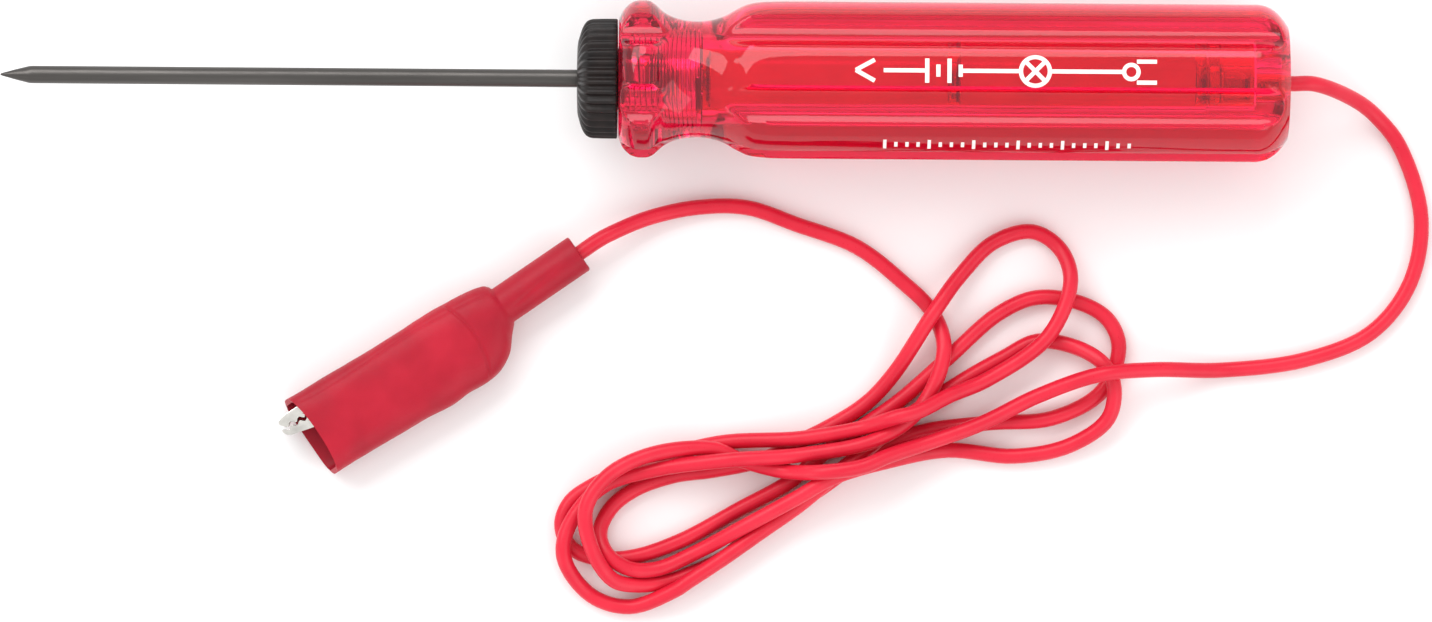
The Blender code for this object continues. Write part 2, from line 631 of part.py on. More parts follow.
def make_lead(look):
    curve = bpy.data.curves.new("lead_wire", "CURVE")
    curve.dimensions = "3D"
    curve.bevel_depth = LEAD_RADIUS * MM
    curve.bevel_resolution = 2
    curve.use_fill_caps = True
    points = lead_points()
    spline = curve.splines.new("POLY")
    spline.points.add(len(points) - 1)
    for target, place in zip(spline.points, points):
        target.co = (*(place * MM), 1.0)
    curve.materials.append(look)
    bpy.context.scene.collection.objects.link(bpy.data.objects.new("lead_wire", curve))


def main():
    for old in list(bpy.data.objects):
        bpy.data.objects.remove(old)
    clear_red = material("clear_red_plastic", (0.85, 0.02, 0.06), 0.08, transmission=0.9)
    black = material("black_plastic", (0.03, 0.03, 0.032), 0.55)
    dark_steel = material("dark_steel", (0.16, 0.155, 0.15), 0.35, 1.0)
    spring_steel = material("spring_steel", (0.6, 0.6, 0.6), 0.25, 1.0)
    brass = material("brass", (0.75, 0.55, 0.25), 0.3, 1.0)
    nickel = material("nickel_plate", (0.78, 0.77, 0.73), 0.15, 1.0)
    copper = material("copper", (0.85, 0.45, 0.3), 0.3, 1.0)
    solder = material("solder", (0.6, 0.6, 0.62), 0.4, 1.0)
    sleeve = material("cell_sleeve", (0.8, 0.76, 0.68), 0.35)
    glass = material("lamp_glass", (0.95, 0.95, 0.95), 0.02, transmission=1.0)
    vinyl = material("red_vinyl", (0.65, 0.03, 0.06), 0.4)
    insulation = material("red_insulation", (0.72, 0.03, 0.06), 0.35)
    make_handle(clear_red)
    make_cap(black)
    make_probe(dark_steel, brass)
    make_contact_spring(spring_steel, brass)
    for i, place in enumerate(("front", "rear")):
        make_cell(place, CELL_FIRST + i * CELL_SPACING, spring_steel, nickel, sleeve)
    make_lamp(glass, brass, solder)
    make_lead_terminal(brass, copper)
    make_clip(nickel, spring_steel, vinyl, copper)
    make_lead(insulation)


main()
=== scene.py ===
"""Looks of the continuity tester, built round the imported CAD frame. Lengths in the tables are in
millimetres: along the tester from the handle's front face, and in the clip from the middle of the
boot's mouth, u towards the lead and v towards the fixed jaw."""

import json
import math

import bmesh
import bpy
from mathutils import Matrix, Vector, noise


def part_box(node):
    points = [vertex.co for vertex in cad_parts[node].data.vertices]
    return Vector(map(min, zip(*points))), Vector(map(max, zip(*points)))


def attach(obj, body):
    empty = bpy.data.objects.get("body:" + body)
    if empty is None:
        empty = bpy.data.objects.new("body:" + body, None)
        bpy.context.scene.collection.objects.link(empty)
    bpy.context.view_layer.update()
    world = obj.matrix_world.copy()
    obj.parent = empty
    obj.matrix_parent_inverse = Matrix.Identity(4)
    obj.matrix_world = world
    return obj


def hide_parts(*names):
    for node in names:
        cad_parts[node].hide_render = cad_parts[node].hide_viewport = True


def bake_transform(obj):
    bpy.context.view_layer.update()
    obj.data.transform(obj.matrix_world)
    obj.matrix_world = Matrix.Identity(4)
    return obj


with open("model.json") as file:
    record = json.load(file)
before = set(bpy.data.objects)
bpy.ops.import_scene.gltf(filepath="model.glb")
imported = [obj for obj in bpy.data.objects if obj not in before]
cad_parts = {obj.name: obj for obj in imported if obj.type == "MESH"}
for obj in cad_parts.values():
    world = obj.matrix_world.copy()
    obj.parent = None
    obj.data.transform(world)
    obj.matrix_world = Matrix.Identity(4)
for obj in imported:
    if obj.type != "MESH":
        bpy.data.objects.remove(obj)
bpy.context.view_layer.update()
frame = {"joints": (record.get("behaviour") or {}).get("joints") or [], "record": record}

MM = 0.001

# Tester, as in the CAD
HANDLE_LENGTH = 120.9
PROBE_REACH = 112.0
HANDLE_RADIUS = 14.3
HANDLE_OUTLINE = [
    (0.0, 11.0), (0.9, 12.7), (2.7, 14.1), (5.4, 14.2), (6.4, 13.6), (8.1, 12.1), (9.9, 11.2),
    (12.0, 10.65), (14.2, 10.5), (16.6, 10.75), (19.0, 11.5), (21.0, 12.6), (23.2, 13.65),
    (25.5, 14.1), (32.0, 14.3), (36.0, 14.3), (111.0, 14.3), (115.5, 14.3), (117.3, 13.85),
    (118.8, 12.9), (120.0, 11.6), (120.9, 10.3),
]
FLUTE_AXIS_RADIUS = 16.0
FLUTE_CUT_RADIUS = 4.3
FLUTE_ANGLE = 20.2
FLUTE_EDGE = 0.5
HANDLE_SIDES = 216

THREAD_PITCH = 1.0
THREAD_START = 0.4
NUT_CREST, NUT_ROOT, NUT_TURNS = 5.9, 6.4, 13
SCREW_CREST, SCREW_ROOT, SCREW_TURNS = 6.1, 5.55, 13
THREAD_STEPS = 6
MOUTH_RADIUS = 6.6
CELL_BORE_RADIUS, CELL_BORE_END = 5.6, 106.2
LAMP_BORE_RADIUS, LAMP_BORE_END = 5.0, 114.9
WIRE_HOLE_RADIUS = 1.75

CAP_FRONT, CAP_REAR = -7.6, -0.3
CAP_FLUTES = 36
SPIGOT_END = 15.0
SPIGOT_BORE_RADIUS, SPIGOT_BORE_START = 4.6, 3.0
PROBE_RADIUS, PROBE_CONE = 1.6, 5.4
PROBE_REAR = 6.3
GAP = 0.3
PROBE_HOLE_RADIUS = PROBE_RADIUS + GAP

CELL_LENGTH, CELL_NUB = 44.5, 0.8
CELL_FIRST, CELL_SPACING = 15.5, 44.7
CAN_RADIUS, SLEEVE_INNER, SLEEVE_OUTER = 4.7, 5.0, 5.25
BULB_RADIUS, BULB_CENTRE, BULB_GLASS = 2.4, 111.2, 0.25

# Clip, as in the CAD
BOOT_HALF_HEIGHT = 4.8
BOOT_WALL = 1.0
BOOT_TUBE_RADIUS, BOOT_TUBE_BORE = 3.6, 1.75
BOOT_LENGTH = 59.2
BOOT_SIDES = 120
TUBE_STEPS = 26
MOUTH_SLANT, MOUTH_BOW = 1.1, 0.55
BOOT_MOUTH_HALF_WIDTH = 8.1
PIVOT, PIVOT_HOLE_RADIUS = (17.0, 0.5), 1.3
SHEET, SHEET_EDGE = 0.6, 0.12
FIXED_HALF_WIDTH, MOVING_HALF_WIDTH = 3.0, 2.1

# Lead: route as x, y, and the level of its centre above its resting height, in lead diameters
LEAD_RADIUS = 1.4
ROUTE = [
    (130, -3, 1.6), (134, -6, 0.5), (138, -11, 0), (142, -24, 0), (140, -36, 0), (133, -45, 0),
    (121, -50, 0), (106, -52, 0), (93, -52, 1.6), (83, -53, 2.3), (72, -57, 1.2), (62, -62, 1.3),
    (51, -66, 1.8), (45, -68, 2.6), (40, -70, 3.1), (33, -71, 3), (26, -71, 1.3), (18, -69, 1),
    (13, -67, 1.2), (2, -68, 1.8), (-6, -72, 2.1), (-10, -78, 2.1), (-9, -85, 2), (-5, -91, 1.2),
    (0, -92, 0.4), (6, -91, 0), (15, -87, 0), (21, -82, 0), (27, -78, 0), (33, -74, 0),
    (40, -69, 0), (50, -64, 0), (63, -62, 0), (75, -61, 0), (84, -56, 0), (87, -48, 0),
    (85, -43, 0), (80, -40, 0), (72, -39, 0), (65, -42, 0), (56, -50, 0), (47, -58, 0),
    (40, -63, 0), (33, -68, 0), (27, -73, 0), (18, -78, 0), (7, -84, 0), (-2, -87, 0),
    (-9, -87, 0), (-13, -85, 0), (-14.5, -81, 0), (-13, -77, 0), (-9, -74, 0), (0, -70, 0),
    (14, -66, 0.2), (29, -65, 1.1), (40, -63, 1.6), (46, -61, 2.7), (50, -60, 2.6),
    (56, -57, 1.8), (63, -54, 1),
    (74, -46, 1.2), (78, -36, 1), (76, -30, 0.2), (71, -27, 0), (64, -29, 0), (58, -35, 0.4),
    (53, -42, 1.2), (46, -53, 0.4), (41, -58.5, 0), (34, -63, 0), (29, -65.5, 0), (22, -69, 0),
    (13, -71, 0), (6, -72, 0), (-1, -74.5, 0), (-5.5, -78, 0), (-7.5, -82.5, 0.4),
    (-6, -86.5, 1), (-2, -89, 0.9), (3, -89, 0.6), (10, -86, 0.5), (19, -81, 1.5), (28, -76, 2),
    (35, -72, 2.2), (45, -69, 1.4), (56, -67, 0), (68, -68, 0), (78, -66, 0.2), (85, -61, 0.8),
    (86, -55, 1.1), (84, -51, 1.1), (79, -48, 0.3), (72, -47, 0), (66, -50, 0), (59, -54, 0),
    (47, -62, 0.4), (41, -67, 1), (36, -71, 1.1), (29, -77, 1), (22, -82, 1), (15, -87, 1),
    (9, -91, 1), (6, -93, 0.8), (-2, -96, 0), (-9, -94, 0), (-14, -87, 1), (-13, -81, 1),
    (-7, -74, 1), (2, -71, 1.2), (16, -69, 2.1), (29, -68, 1.7), (43, -65, 2), (51, -59, 1.2),
    (55, -49, 1), (53, -42, 0), (47, -36, 0), (39, -30, 0), (28, -26, 0), (19, -23, 0),
    (10, -23, 0.1), (1, -25, 0.5), (-6, -28, 1.1),
]

# Places taken from the frame
FRONT_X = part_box("handle_shell")[0][0]
BUTT_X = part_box("handle_shell")[1][0]
AXIS_Z = (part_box("probe_shank")[0][2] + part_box("probe_shank")[1][2]) / 2
JOINTS = {joint["name"]: joint for joint in frame["joints"]}
CLIP_NOSE = next(m for m in frame["record"]["mounts"] if m["name"] == "clip_nose")
CLIP_AHEAD = -Vector(CLIP_NOSE["axis"])
CLIP_TURN = math.atan2(CLIP_AHEAD.y, CLIP_AHEAD.x)
CLIP_MATRIX = (
    Matrix.Translation(JOINTS["clip_open"]["pos_m"])
    @ Matrix.Rotation(CLIP_TURN, 4, "Z")
    @ Matrix.Translation((-PIVOT[0] * MM, -PIVOT[1] * MM, 0.0))
)
TESTER_MATRIX = Matrix.Translation((FRONT_X, 0.0, AXIS_Z))


# ---------------------------------------------------------------- node helpers
class Look:
    """A procedural material under construction: its node tree and its Principled shader."""

    def __init__(self, name, colour, roughness, metallic=0.0):
        self.material = bpy.data.materials.new(name)
        self.material.use_nodes = True
        self.tree = self.material.node_tree
        self.shader = self.tree.nodes["Principled BSDF"]
        self.shader.inputs["Base Color"].default_value = (*colour, 1.0)
        self.shader.inputs["Roughness"].default_value = roughness
        self.shader.inputs["Metallic"].default_value = metallic
        self.places = self.add("ShaderNodeTexCoord").outputs["Object"]
        self.last_bump = None

    def add(self, kind):
        return self.tree.nodes.new(kind)

    def link(self, source, target):
        self.tree.links.new(source, target)

    def stretched(self, scale):
        """Object coordinates times scale."""
        mapping = self.add("ShaderNodeMapping")
        mapping.inputs["Scale"].default_value = scale
        self.link(self.places, mapping.inputs["Vector"])
        return mapping.outputs["Vector"]

    def noise(self, size, detail=4.0, roughness=0.6, stretch=(1.0, 1.0, 1.0)):
        """Noise whose features are about size millimetres across."""
        scale = tuple(axis / (size * MM) for axis in stretch)
        node = self.add("ShaderNodeTexNoise")
        node.inputs["Scale"].default_value = 1.0
        node.inputs["Detail"].default_value = detail
        node.inputs["Roughness"].default_value = roughness
        self.link(self.stretched(scale), node.inputs["Vector"])
        return node.outputs["Fac"]

    def spread(self, source, low, high, out_low, out_high):
        """source from low..high mapped to out_low..out_high."""
        node = self.add("ShaderNodeMapRange")
        for key, value in zip(("From Min", "From Max", "To Min", "To Max"),
                              (low, high, out_low, out_high)):
            node.inputs[key].default_value = value
        self.link(source, node.inputs["Value"])
        return node.outputs["Result"]

    def ramp(self, source, stops):
        node = self.add("ShaderNodeValToRGB")
        ends = node.color_ramp.elements
        while len(ends) < len(stops):
            ends.new(0.5)
        for end, (position, colour) in zip(ends, stops):
            end.position = position
            end.color = (*colour, 1.0)
        self.link(source, node.inputs["Fac"])
        return node.outputs["Color"]

    def colour_from(self, source):
        self.link(source, self.shader.inputs["Base Color"])

    def roughness_from(self, source):
        self.link(source, self.shader.inputs["Roughness"])

    def bump(self, source, height):
        """Adds relief that is height millimetres deep."""
        node = self.add("ShaderNodeBump")
        node.inputs["Strength"].default_value = 1.0
        node.inputs["Distance"].default_value = height * MM
        self.link(source, node.inputs["Height"])
        if self.last_bump is not None:
            self.link(self.last_bump.outputs["Normal"], node.inputs["Normal"])
        self.last_bump = node
        self.link(node.outputs["Normal"], self.shader.inputs["Normal"])


def moulded(name, light, dark, rough, grain, patch=6.0, depth=0.01):
    """A moulded plastic: soft colour patches, fine grain in the gloss, and a little relief."""
    look = Look(name, light, rough)
    patches = look.noise(patch, 3.0)
    look.colour_from(look.ramp(patches, [(0.35, dark), (0.65, light)]))
    fine = look.noise(grain, 5.0)
    look.roughness_from(look.spread(fine, 0.3, 0.7, rough - 0.06, rough + 0.08))
    look.bump(fine, depth)
    return look


def metal(name, light, dark, rough, stretch, grain, depth=0.006):
    """A metal with fine lines along one way and slow changes of tone."""
    look = Look(name, light, rough, 1.0)
    tone = look.noise(5.0, 3.0, stretch=stretch)
    look.colour_from(look.ramp(tone, [(0.3, dark), (0.7, light)]))
    lines = look.noise(grain, 6.0, 0.7, stretch=stretch)
    look.roughness_from(look.spread(lines, 0.3, 0.7, max(rough - 0.08, 0.03), rough + 0.12))
    look.bump(lines, depth)
    return look


def clear_red():
    look = Look("clear_red_plastic", (1.0, 0.03, 0.07), 0.05)
    look.shader.inputs["Transmission Weight"].default_value = 0.93
    look.shader.inputs["IOR"].default_value = 1.49
    look.shader.inputs["Specular IOR Level"].default_value = 0.05
    tone = look.noise(22.0, 2.0, stretch=(0.4, 1.0, 1.0))
    look.colour_from(look.ramp(tone, [(0.35, (1.0, 0.008, 0.07)), (0.65, (1.0, 0.016, 0.095))]))
    handling = look.noise(1.4, 6.0, 0.65, stretch=(0.5, 1.0, 1.0))
    look.roughness_from(look.spread(handling, 0.35, 0.7, 0.012, 0.05))
    flow = look.noise(9.0, 2.0, stretch=(0.25, 1.0, 1.0))
    look.bump(flow, 0.012)
    look.bump(handling, 0.002)
    return look


def lamp_glass_look():
    look = Look("lamp_glass", (0.97, 0.97, 0.95), 0.02)
    look.shader.inputs["Transmission Weight"].default_value = 1.0
    look.shader.inputs["IOR"].default_value = 1.5
    look.bump(look.noise(1.5, 2.0), 0.01)
    return look


def vinyl():
    look = Look("red_vinyl", (0.44, 0.012, 0.032), 0.5)
    look.shader.inputs["Specular IOR Level"].default_value = 0.3
    patches = look.noise(16.0, 3.0)
    look.colour_from(look.ramp(patches, [
        (0.3, (0.33, 0.002, 0.016)), (0.52, (0.41, 0.003, 0.02)), (0.75, (0.50, 0.007, 0.028)),
    ]))
    skin = look.noise(0.35, 4.0)
    look.roughness_from(look.spread(skin, 0.3, 0.7, 0.42, 0.56))
    look.bump(look.noise(5.0, 3.0), 0.12)
    look.bump(skin, 0.006)
    look.shader.inputs["Subsurface Weight"].default_value = 0.08
    look.shader.inputs["Subsurface Scale"].default_value = 0.0015
    return look


def insulation():
    look = Look("red_insulation", (0.70, 0.028, 0.05), 0.36)
    patches = look.noise(14.0, 3.0)
    look.colour_from(look.ramp(patches, [(0.3, (0.62, 0.009, 0.032)), (0.7, (0.74, 0.02, 0.048))]))
    look.shader.inputs["Specular IOR Level"].default_value = 0.3
    skin = look.noise(0.5, 4.0)
    look.roughness_from(look.spread(skin, 0.3, 0.7, 0.26, 0.42))
    look.bump(skin, 0.008)
    return look


# ---------------------------------------------------------------- mesh helpers
def finish_piece(name, bm, look, matrix, body, nodes=(), sharp=38.0):
    """Turns a bmesh in millimetres into a piece in the row frame that rides on body."""
    bmesh.ops.recalc_face_normals(bm, faces=bm.faces)
    bmesh.ops.scale(bm, vec=(MM, MM, MM), verts=bm.verts)
    bmesh.ops.transform(bm, matrix=matrix, verts=bm.verts)
    mesh = bpy.data.meshes.new(name)
    bm.to_mesh(mesh)
    bm.free()
    mesh.shade_smooth()
    mesh.set_sharp_from_angle(angle=math.radians(sharp))
    mesh.materials.append(look.material)
    piece = bpy.data.objects.new(name, mesh)
    bpy.context.scene.collection.objects.link(piece)
    if body:
        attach(piece, body)
    if nodes:
        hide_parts(*nodes)
    return piece


def even_angles(count):
    return [360.0 * i / count for i in range(count)]


def ring(bm, along, radius_at, angles):
    """A ring round X. Angles, in degrees, turn by the right-hand rule about +X from +Z."""
    made = []
    for angle in angles:
        radius = radius_at(angle) if callable(radius_at) else radius_at
        turn = math.radians(angle)
        made.append(bm.verts.new((along, -radius * math.sin(turn), radius * math.cos(turn))))
    return made


def join_rings(bm, first, second):
    count = len(first)
    for i in range(count):
        j = (i + 1) % count
        bm.faces.new((first[i], first[j], second[j], second[i]))


def join_all(bm, rings, closed=False):
    for first, second in zip(rings, rings[1:]):
        join_rings(bm, first, second)
    if closed:
        join_rings(bm, rings[-1], rings[0])


def zip_rings(bm, first, first_angles, second, second_angles):
    """Triangles between two rings whose points stand at different angles."""
    i = j = 0
    while i < len(first) or j < len(second):
        next_i = first_angles[i + 1] if i + 1 < len(first) else first_angles[0] + 360.0
        next_j = second_angles[j + 1] if j + 1 < len(second) else second_angles[0] + 360.0
        a, b = first[i % len(first)], second[j % len(second)]
        if j >= len(second) or (i < len(first) and next_i <= next_j):
            bm.faces.new((a, first[(i + 1) % len(first)], b))
            i += 1
        else:
            bm.faces.new((a, second[(j + 1) % len(second)], b))
            j += 1


def thread(bm, before, start, turns, low, high, after_at):
    """A rounded right-hand thread between ring before and a new ring at after_at."""
    count = len(before)
    angles = even_angles(count)
    steps = THREAD_STEPS
    last = steps * turns
    columns = []
    for i, angle in enumerate(angles):
        turn = math.radians(angle)
        column = []
        for k in range(last + 1):
            fade = min(1.0, 2.0 * (k / steps + i / count), 2.0 * (turns + 1 - k / steps - i / count))
            rise = 0.5 - 0.5 * math.cos(2 * math.pi * k / steps)
            radius = low + (high - low) * rise * max(fade, 0.0)
            along = start + THREAD_PITCH * (k / steps + i / count)
            place = (along, -radius * math.sin(turn), radius * math.cos(turn))
            column.append(bm.verts.new(place))
        columns.append(column)
    after = ring(bm, after_at, low, angles)
    for i in range(count - 1):
        here, there = columns[i], columns[i + 1]
        bm.faces.new((before[i], before[i + 1], there[0], here[0]))
        for k in range(last):
            bm.faces.new((here[k], there[k], there[k + 1], here[k + 1]))
        bm.faces.new((here[last], there[last], after[i + 1], after[i]))
    end, first = columns[-1], columns[0]
    for k in range(last - steps):
        bm.faces.new((end[k], first[k + steps], first[k + steps + 1], end[k + 1]))
    for k in range(steps):
        bm.faces.new((end[0], first[k + 1], first[k]))
        bm.faces.new((first[last], end[last - k], end[last - k - 1]))
    bm.faces.new((before[-1], before[0], first[0], end[0]))
    bm.faces.new((end[last], first[last], after[0], after[-1]))
    return after


def eased(profile, size, closed=False):
    """A profile whose corners are rounded over about size millimetres."""
    points = [Vector(p) for p in profile]
    count = len(points)
    made = []
    for i, corner in enumerate(points):
        if not closed and i in (0, count - 1):
            made.append(tuple(corner))
            continue
        before, after = points[i - 1], points[(i + 1) % count]
        reach_in = min(size, (before - corner).length * 0.45)
        reach_out = min(size, (after - corner).length * 0.45)
        start = corner + (before - corner).normalized() * reach_in
        end = corner + (after - corner).normalized() * reach_out
        for step in (0.0, 1 / 3, 2 / 3, 1.0):
            made.append(tuple(
                start * (1 - step) ** 2 + corner * (2 * step * (1 - step)) + end * step**2
            ))
    return made


def turned(name, profile, look, body, nodes=(), sides=64, hollow=False, ease=0.15,
           matrix=TESTER_MATRIX):
    """A piece turned about X from (along, radius) points: a loop if hollow, else with closed ends."""
    bm = bmesh.new()
    angles = even_angles(sides)
    shape = eased(profile, ease, closed=hollow)
    rings = [ring(bm, along, radius, angles) for along, radius in shape]
    join_all(bm, rings, closed=hollow)
    if not hollow:
        bm.faces.new(rings[0])
        bm.faces.new(rings[-1])
    return finish_piece(name, bm, look, matrix, body, nodes)


def tube_along(name, points, radius, look, body, nodes=(), sides=12,
               matrix=TESTER_MATRIX):
    """A round closed tube that follows points, in millimetres."""
    bm = bmesh.new()
    path = [Vector(p) for p in points]
    normal = None
    rings = []
    for i, here in enumerate(path):
        ahead = path[min(i + 1, len(path) - 1)] - path[max(i - 1, 0)]
        ahead.normalize()
        if normal is None:
            normal = ahead.orthogonal().normalized()
        normal = (normal - ahead * normal.dot(ahead)).normalized()
        side = ahead.cross(normal)
        made = []
        for k in range(sides):
            turn = 2 * math.pi * k / sides
            made.append(bm.verts.new(here + (normal * math.cos(turn) + side * math.sin(turn)) * radius))
        rings.append(made)
    join_all(bm, rings)
    bm.faces.new(rings[0])
    bm.faces.new(rings[-1])
    return finish_piece(name, bm, look, matrix, body, nodes)


def smooth_curve(points, steps):
    """A centripetal Catmull-Rom curve through points of any dimension, with steps per stretch."""
    knots = [Vector(p) for p in points]
    knots = [2 * knots[0] - knots[1]] + knots + [2 * knots[-1] - knots[-2]]
    fine = []
    for a, b, c, d in zip(knots, knots[1:], knots[2:], knots[3:]):
        t1 = math.sqrt((b - a).length)
        t2 = t1 + math.sqrt((c - b).length)
        t3 = t2 + math.sqrt((d - c).length)
        for step in range(steps):
            t = t1 + (t2 - t1) * step / steps
            ab = a * ((t1 - t) / t1) + b * (t / t1)
            bc = b * ((t2 - t) / (t2 - t1)) + c * ((t - t1) / (t2 - t1))
            cd = c * ((t3 - t) / (t3 - t2)) + d * ((t - t2) / (t3 - t2))
            abc = ab * ((t2 - t) / t2) + bc * (t / t2)
            bcd = bc * ((t3 - t) / (t3 - t1)) + cd * ((t - t1) / (t3 - t1))
            fine.append(abc * ((t2 - t) / (t2 - t1)) + bcd * ((t - t1) / (t2 - t1)))
    fine.append(knots[-2])
    return fine


def smooth_min(a, b, blend):
    near = max(blend - abs(a - b), 0.0) / blend
    return min(a, b) - near * near * blend / 4


# ---------------------------------------------------------------- camera, light and floor
VIEW_WIDTH = 259.2
VIEW_CENTRE = (13.4, -41.9)
CAMERA_HEIGHT = 1.5
SENSOR = 36.0
ROLL = math.radians(0.42)


def make_camera():
    data = bpy.data.cameras.new("camera")
    data.sensor_width = SENSOR
    data.lens = SENSOR * (CAMERA_HEIGHT - AXIS_Z) / (VIEW_WIDTH * MM)
    data.clip_start, data.clip_end = 0.05, 20.0
    camera = bpy.data.objects.new("camera", data)
    camera.location = (VIEW_CENTRE[0] * MM, VIEW_CENTRE[1] * MM, CAMERA_HEIGHT)
    camera.rotation_euler = (0.0, 0.0, ROLL)
    bpy.context.scene.collection.objects.link(camera)
    bpy.context.scene.camera = camera


def make_light(name, place, aim, size, power):
    data = bpy.data.lights.new(name, "AREA")
    data.shape = "RECTANGLE"
    data.size, data.size_y = size
    data.energy = power
    lamp = bpy.data.objects.new(name, data)
    lamp.location = place
    lamp.rotation_euler = (Vector(aim) - Vector(place)).to_track_quat("-Z", "Y").to_euler()
    bpy.context.scene.collection.objects.link(lamp)


def make_stage():
    bpy.context.scene.view_settings.view_transform = "Standard"
    world = bpy.data.worlds.new("soft_white")
    world.use_nodes = True
    world.node_tree.nodes["Background"].inputs["Color"].default_value = (1.0, 1.0, 1.0, 1.0)
    world.node_tree.nodes["Background"].inputs["Strength"].default_value = 0.95
    bpy.context.scene.world = world
    middle = (0.0, -0.03, 0.0)
    make_light("key", (-0.6, 1.0, 1.2), middle, (2.0, 0.9), 18.0)
    make_light("fill", (1.0, -0.9, 1.0), middle, (1.6, 1.2), 8.0)
    make_light("rim", (-0.9, -0.5, 0.35), middle, (0.5, 0.5), 1.2)
    bm = bmesh.new()
    bmesh.ops.create_grid(bm, x_segments=4, y_segments=4, size=3.0)
    floor = Look("pale_floor", (0.9, 0.9, 0.9), 0.75)
    floor.roughness_from(floor.spread(floor.noise(30.0), 0.3, 0.7, 0.7, 0.85))
    mesh = bpy.data.meshes.new("floor")
    bm.to_mesh(mesh)
    bm.free()
    mesh.materials.append(floor.material)
    ground = bpy.data.objects.new("floor", mesh)
    ground.location = (0.0, 0.0, -0.0002)
    bpy.context.scene.collection.objects.link(ground)


# ---------------------------------------------------------------- lead
def clip_point(u, v=0.0, lift=0.0):
    """A point in the clip, as row-frame millimetres."""
    return (CLIP_MATRIX @ Vector((u * MM, v * MM, lift * MM))) / MM


def lead_line():
    """The lead's centre line in metres: straight in the butt and the boot, smooth between."""
    butt, height = BUTT_X / MM, AXIS_Z / MM
    route = [(x, y, LEAD_RADIUS + level * 2 * LEAD_RADIUS) for x, y, level in ROUTE]
    knots = [(butt + 1.0, 0.0, height), (butt + 5.0, 0.0, height - 0.6)] + route
    knots += [clip_point(BOOT_LENGTH + 4.0), clip_point(BOOT_LENGTH + 0.5)]
    free = smooth_curve(knots, 8)
    for place in free:
        place.z = max(place.z, LEAD_RADIUS)
    line = [Vector((butt - 4.7, 0.0, height)), Vector((butt - 1.5, 0.0, height))] + free
    line += [clip_point(BOOT_LENGTH - 3.0), clip_point(52.0), clip_point(44.5)]
    return [place * MM for place in line]


def make_lead(look):
    curve = bpy.data.curves.new("lead", "CURVE")
    curve.dimensions = "3D"
    curve.bevel_depth = LEAD_RADIUS * MM
    curve.bevel_resolution = 6
    curve.use_fill_caps = True
    line = lead_line()
    spline = curve.splines.new("POLY")
    spline.points.add(len(line) - 1)
    for target, place in zip(spline.points, line):
        target.co = (*place, 1.0)
    curve.materials.append(look.material)
    piece = bpy.data.objects.new("lead", curve)
    bpy.context.scene.collection.objects.link(piece)
    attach(piece, "handle")
    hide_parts("lead_wire")
    return piece


# ---------------------------------------------------------------- handle
def handle_section(outline_radius):
    """One station: a circle with six round-bottomed flutes whose edges are softened."""
    widest = math.asin(FLUTE_CUT_RADIUS / FLUTE_AXIS_RADIUS)

    def radius_at(angle):
        off = math.radians((angle - FLUTE_ANGLE + 30.0) % 60.0 - 30.0)
        if abs(off) >= widest:
            return outline_radius
        chord = math.sqrt(FLUTE_CUT_RADIUS**2 - (FLUTE_AXIS_RADIUS * math.sin(off)) ** 2)
        floor_radius = FLUTE_AXIS_RADIUS * math.cos(off) - chord
        return smooth_min(outline_radius, floor_radius, FLUTE_EDGE)

    return radius_at


def handle_stations():
    stations = []
    for along, radius in smooth_curve(HANDLE_OUTLINE, 8):
        if not stations or along - stations[-1][0] > 0.05:
            stations.append((along, min(radius, HANDLE_RADIUS)))
    return stations


def make_handle(look):
    bm = bmesh.new()
    angles = even_angles(HANDLE_SIDES)
    outer = [ring(bm, along, handle_section(radius), angles) for along, radius in handle_stations()]
    face = ring(bm, 0.0, MOUTH_RADIUS + 0.3, angles)
    mouth = ring(bm, 0.1, MOUTH_RADIUS, angles)
    lead_in = ring(bm, THREAD_START, NUT_ROOT, angles)
    nut_start = THREAD_START + THREAD_PITCH / 2
    thread_end = nut_start + (NUT_TURNS + 1) * THREAD_PITCH + 0.1
    bore = [thread(bm, lead_in, nut_start, NUT_TURNS, NUT_ROOT, NUT_CREST, thread_end)]
    for along, radius in (
        (thread_end + 0.3, CELL_BORE_RADIUS),
        (40.0, CELL_BORE_RADIUS), (70.0, CELL_BORE_RADIUS),
        (CELL_BORE_END - 0.5, CELL_BORE_RADIUS), (CELL_BORE_END, CELL_BORE_RADIUS - 0.25),
        (CELL_BORE_END, LAMP_BORE_RADIUS),
        (LAMP_BORE_END - 0.4, LAMP_BORE_RADIUS), (LAMP_BORE_END, LAMP_BORE_RADIUS - 0.4),
        (LAMP_BORE_END, WIRE_HOLE_RADIUS),
        (HANDLE_LENGTH - 0.2, WIRE_HOLE_RADIUS), (HANDLE_LENGTH, WIRE_HOLE_RADIUS + 0.2),
    ):
        bore.append(ring(bm, along, radius, angles))
    join_all(bm, [lead_in, mouth, face] + outer + bore[::-1])
    return finish_piece("handle", bm, look, TESTER_MATRIX, "handle", ["handle_shell"],
                        42.0)


# ---------------------------------------------------------------- printed marks on the handle
MARK_LIFT, MARK_THICKNESS = 0.01, 0.03
STROKE = 0.75
CIRCUIT_ANGLE, TICKS_ANGLE = 6.0, -54.5
LAMP_SIGN, LAMP_SIGN_RADIUS = 74.8, 2.6


def mark_place(along, across, middle, lift):
    """A point on a land, across millimetres round from its middle angle (from +Z towards +Y)."""
    turn = math.radians(middle) + across / HANDLE_RADIUS
    radius = HANDLE_RADIUS + lift
    return (along, radius * math.sin(turn), radius * math.cos(turn))


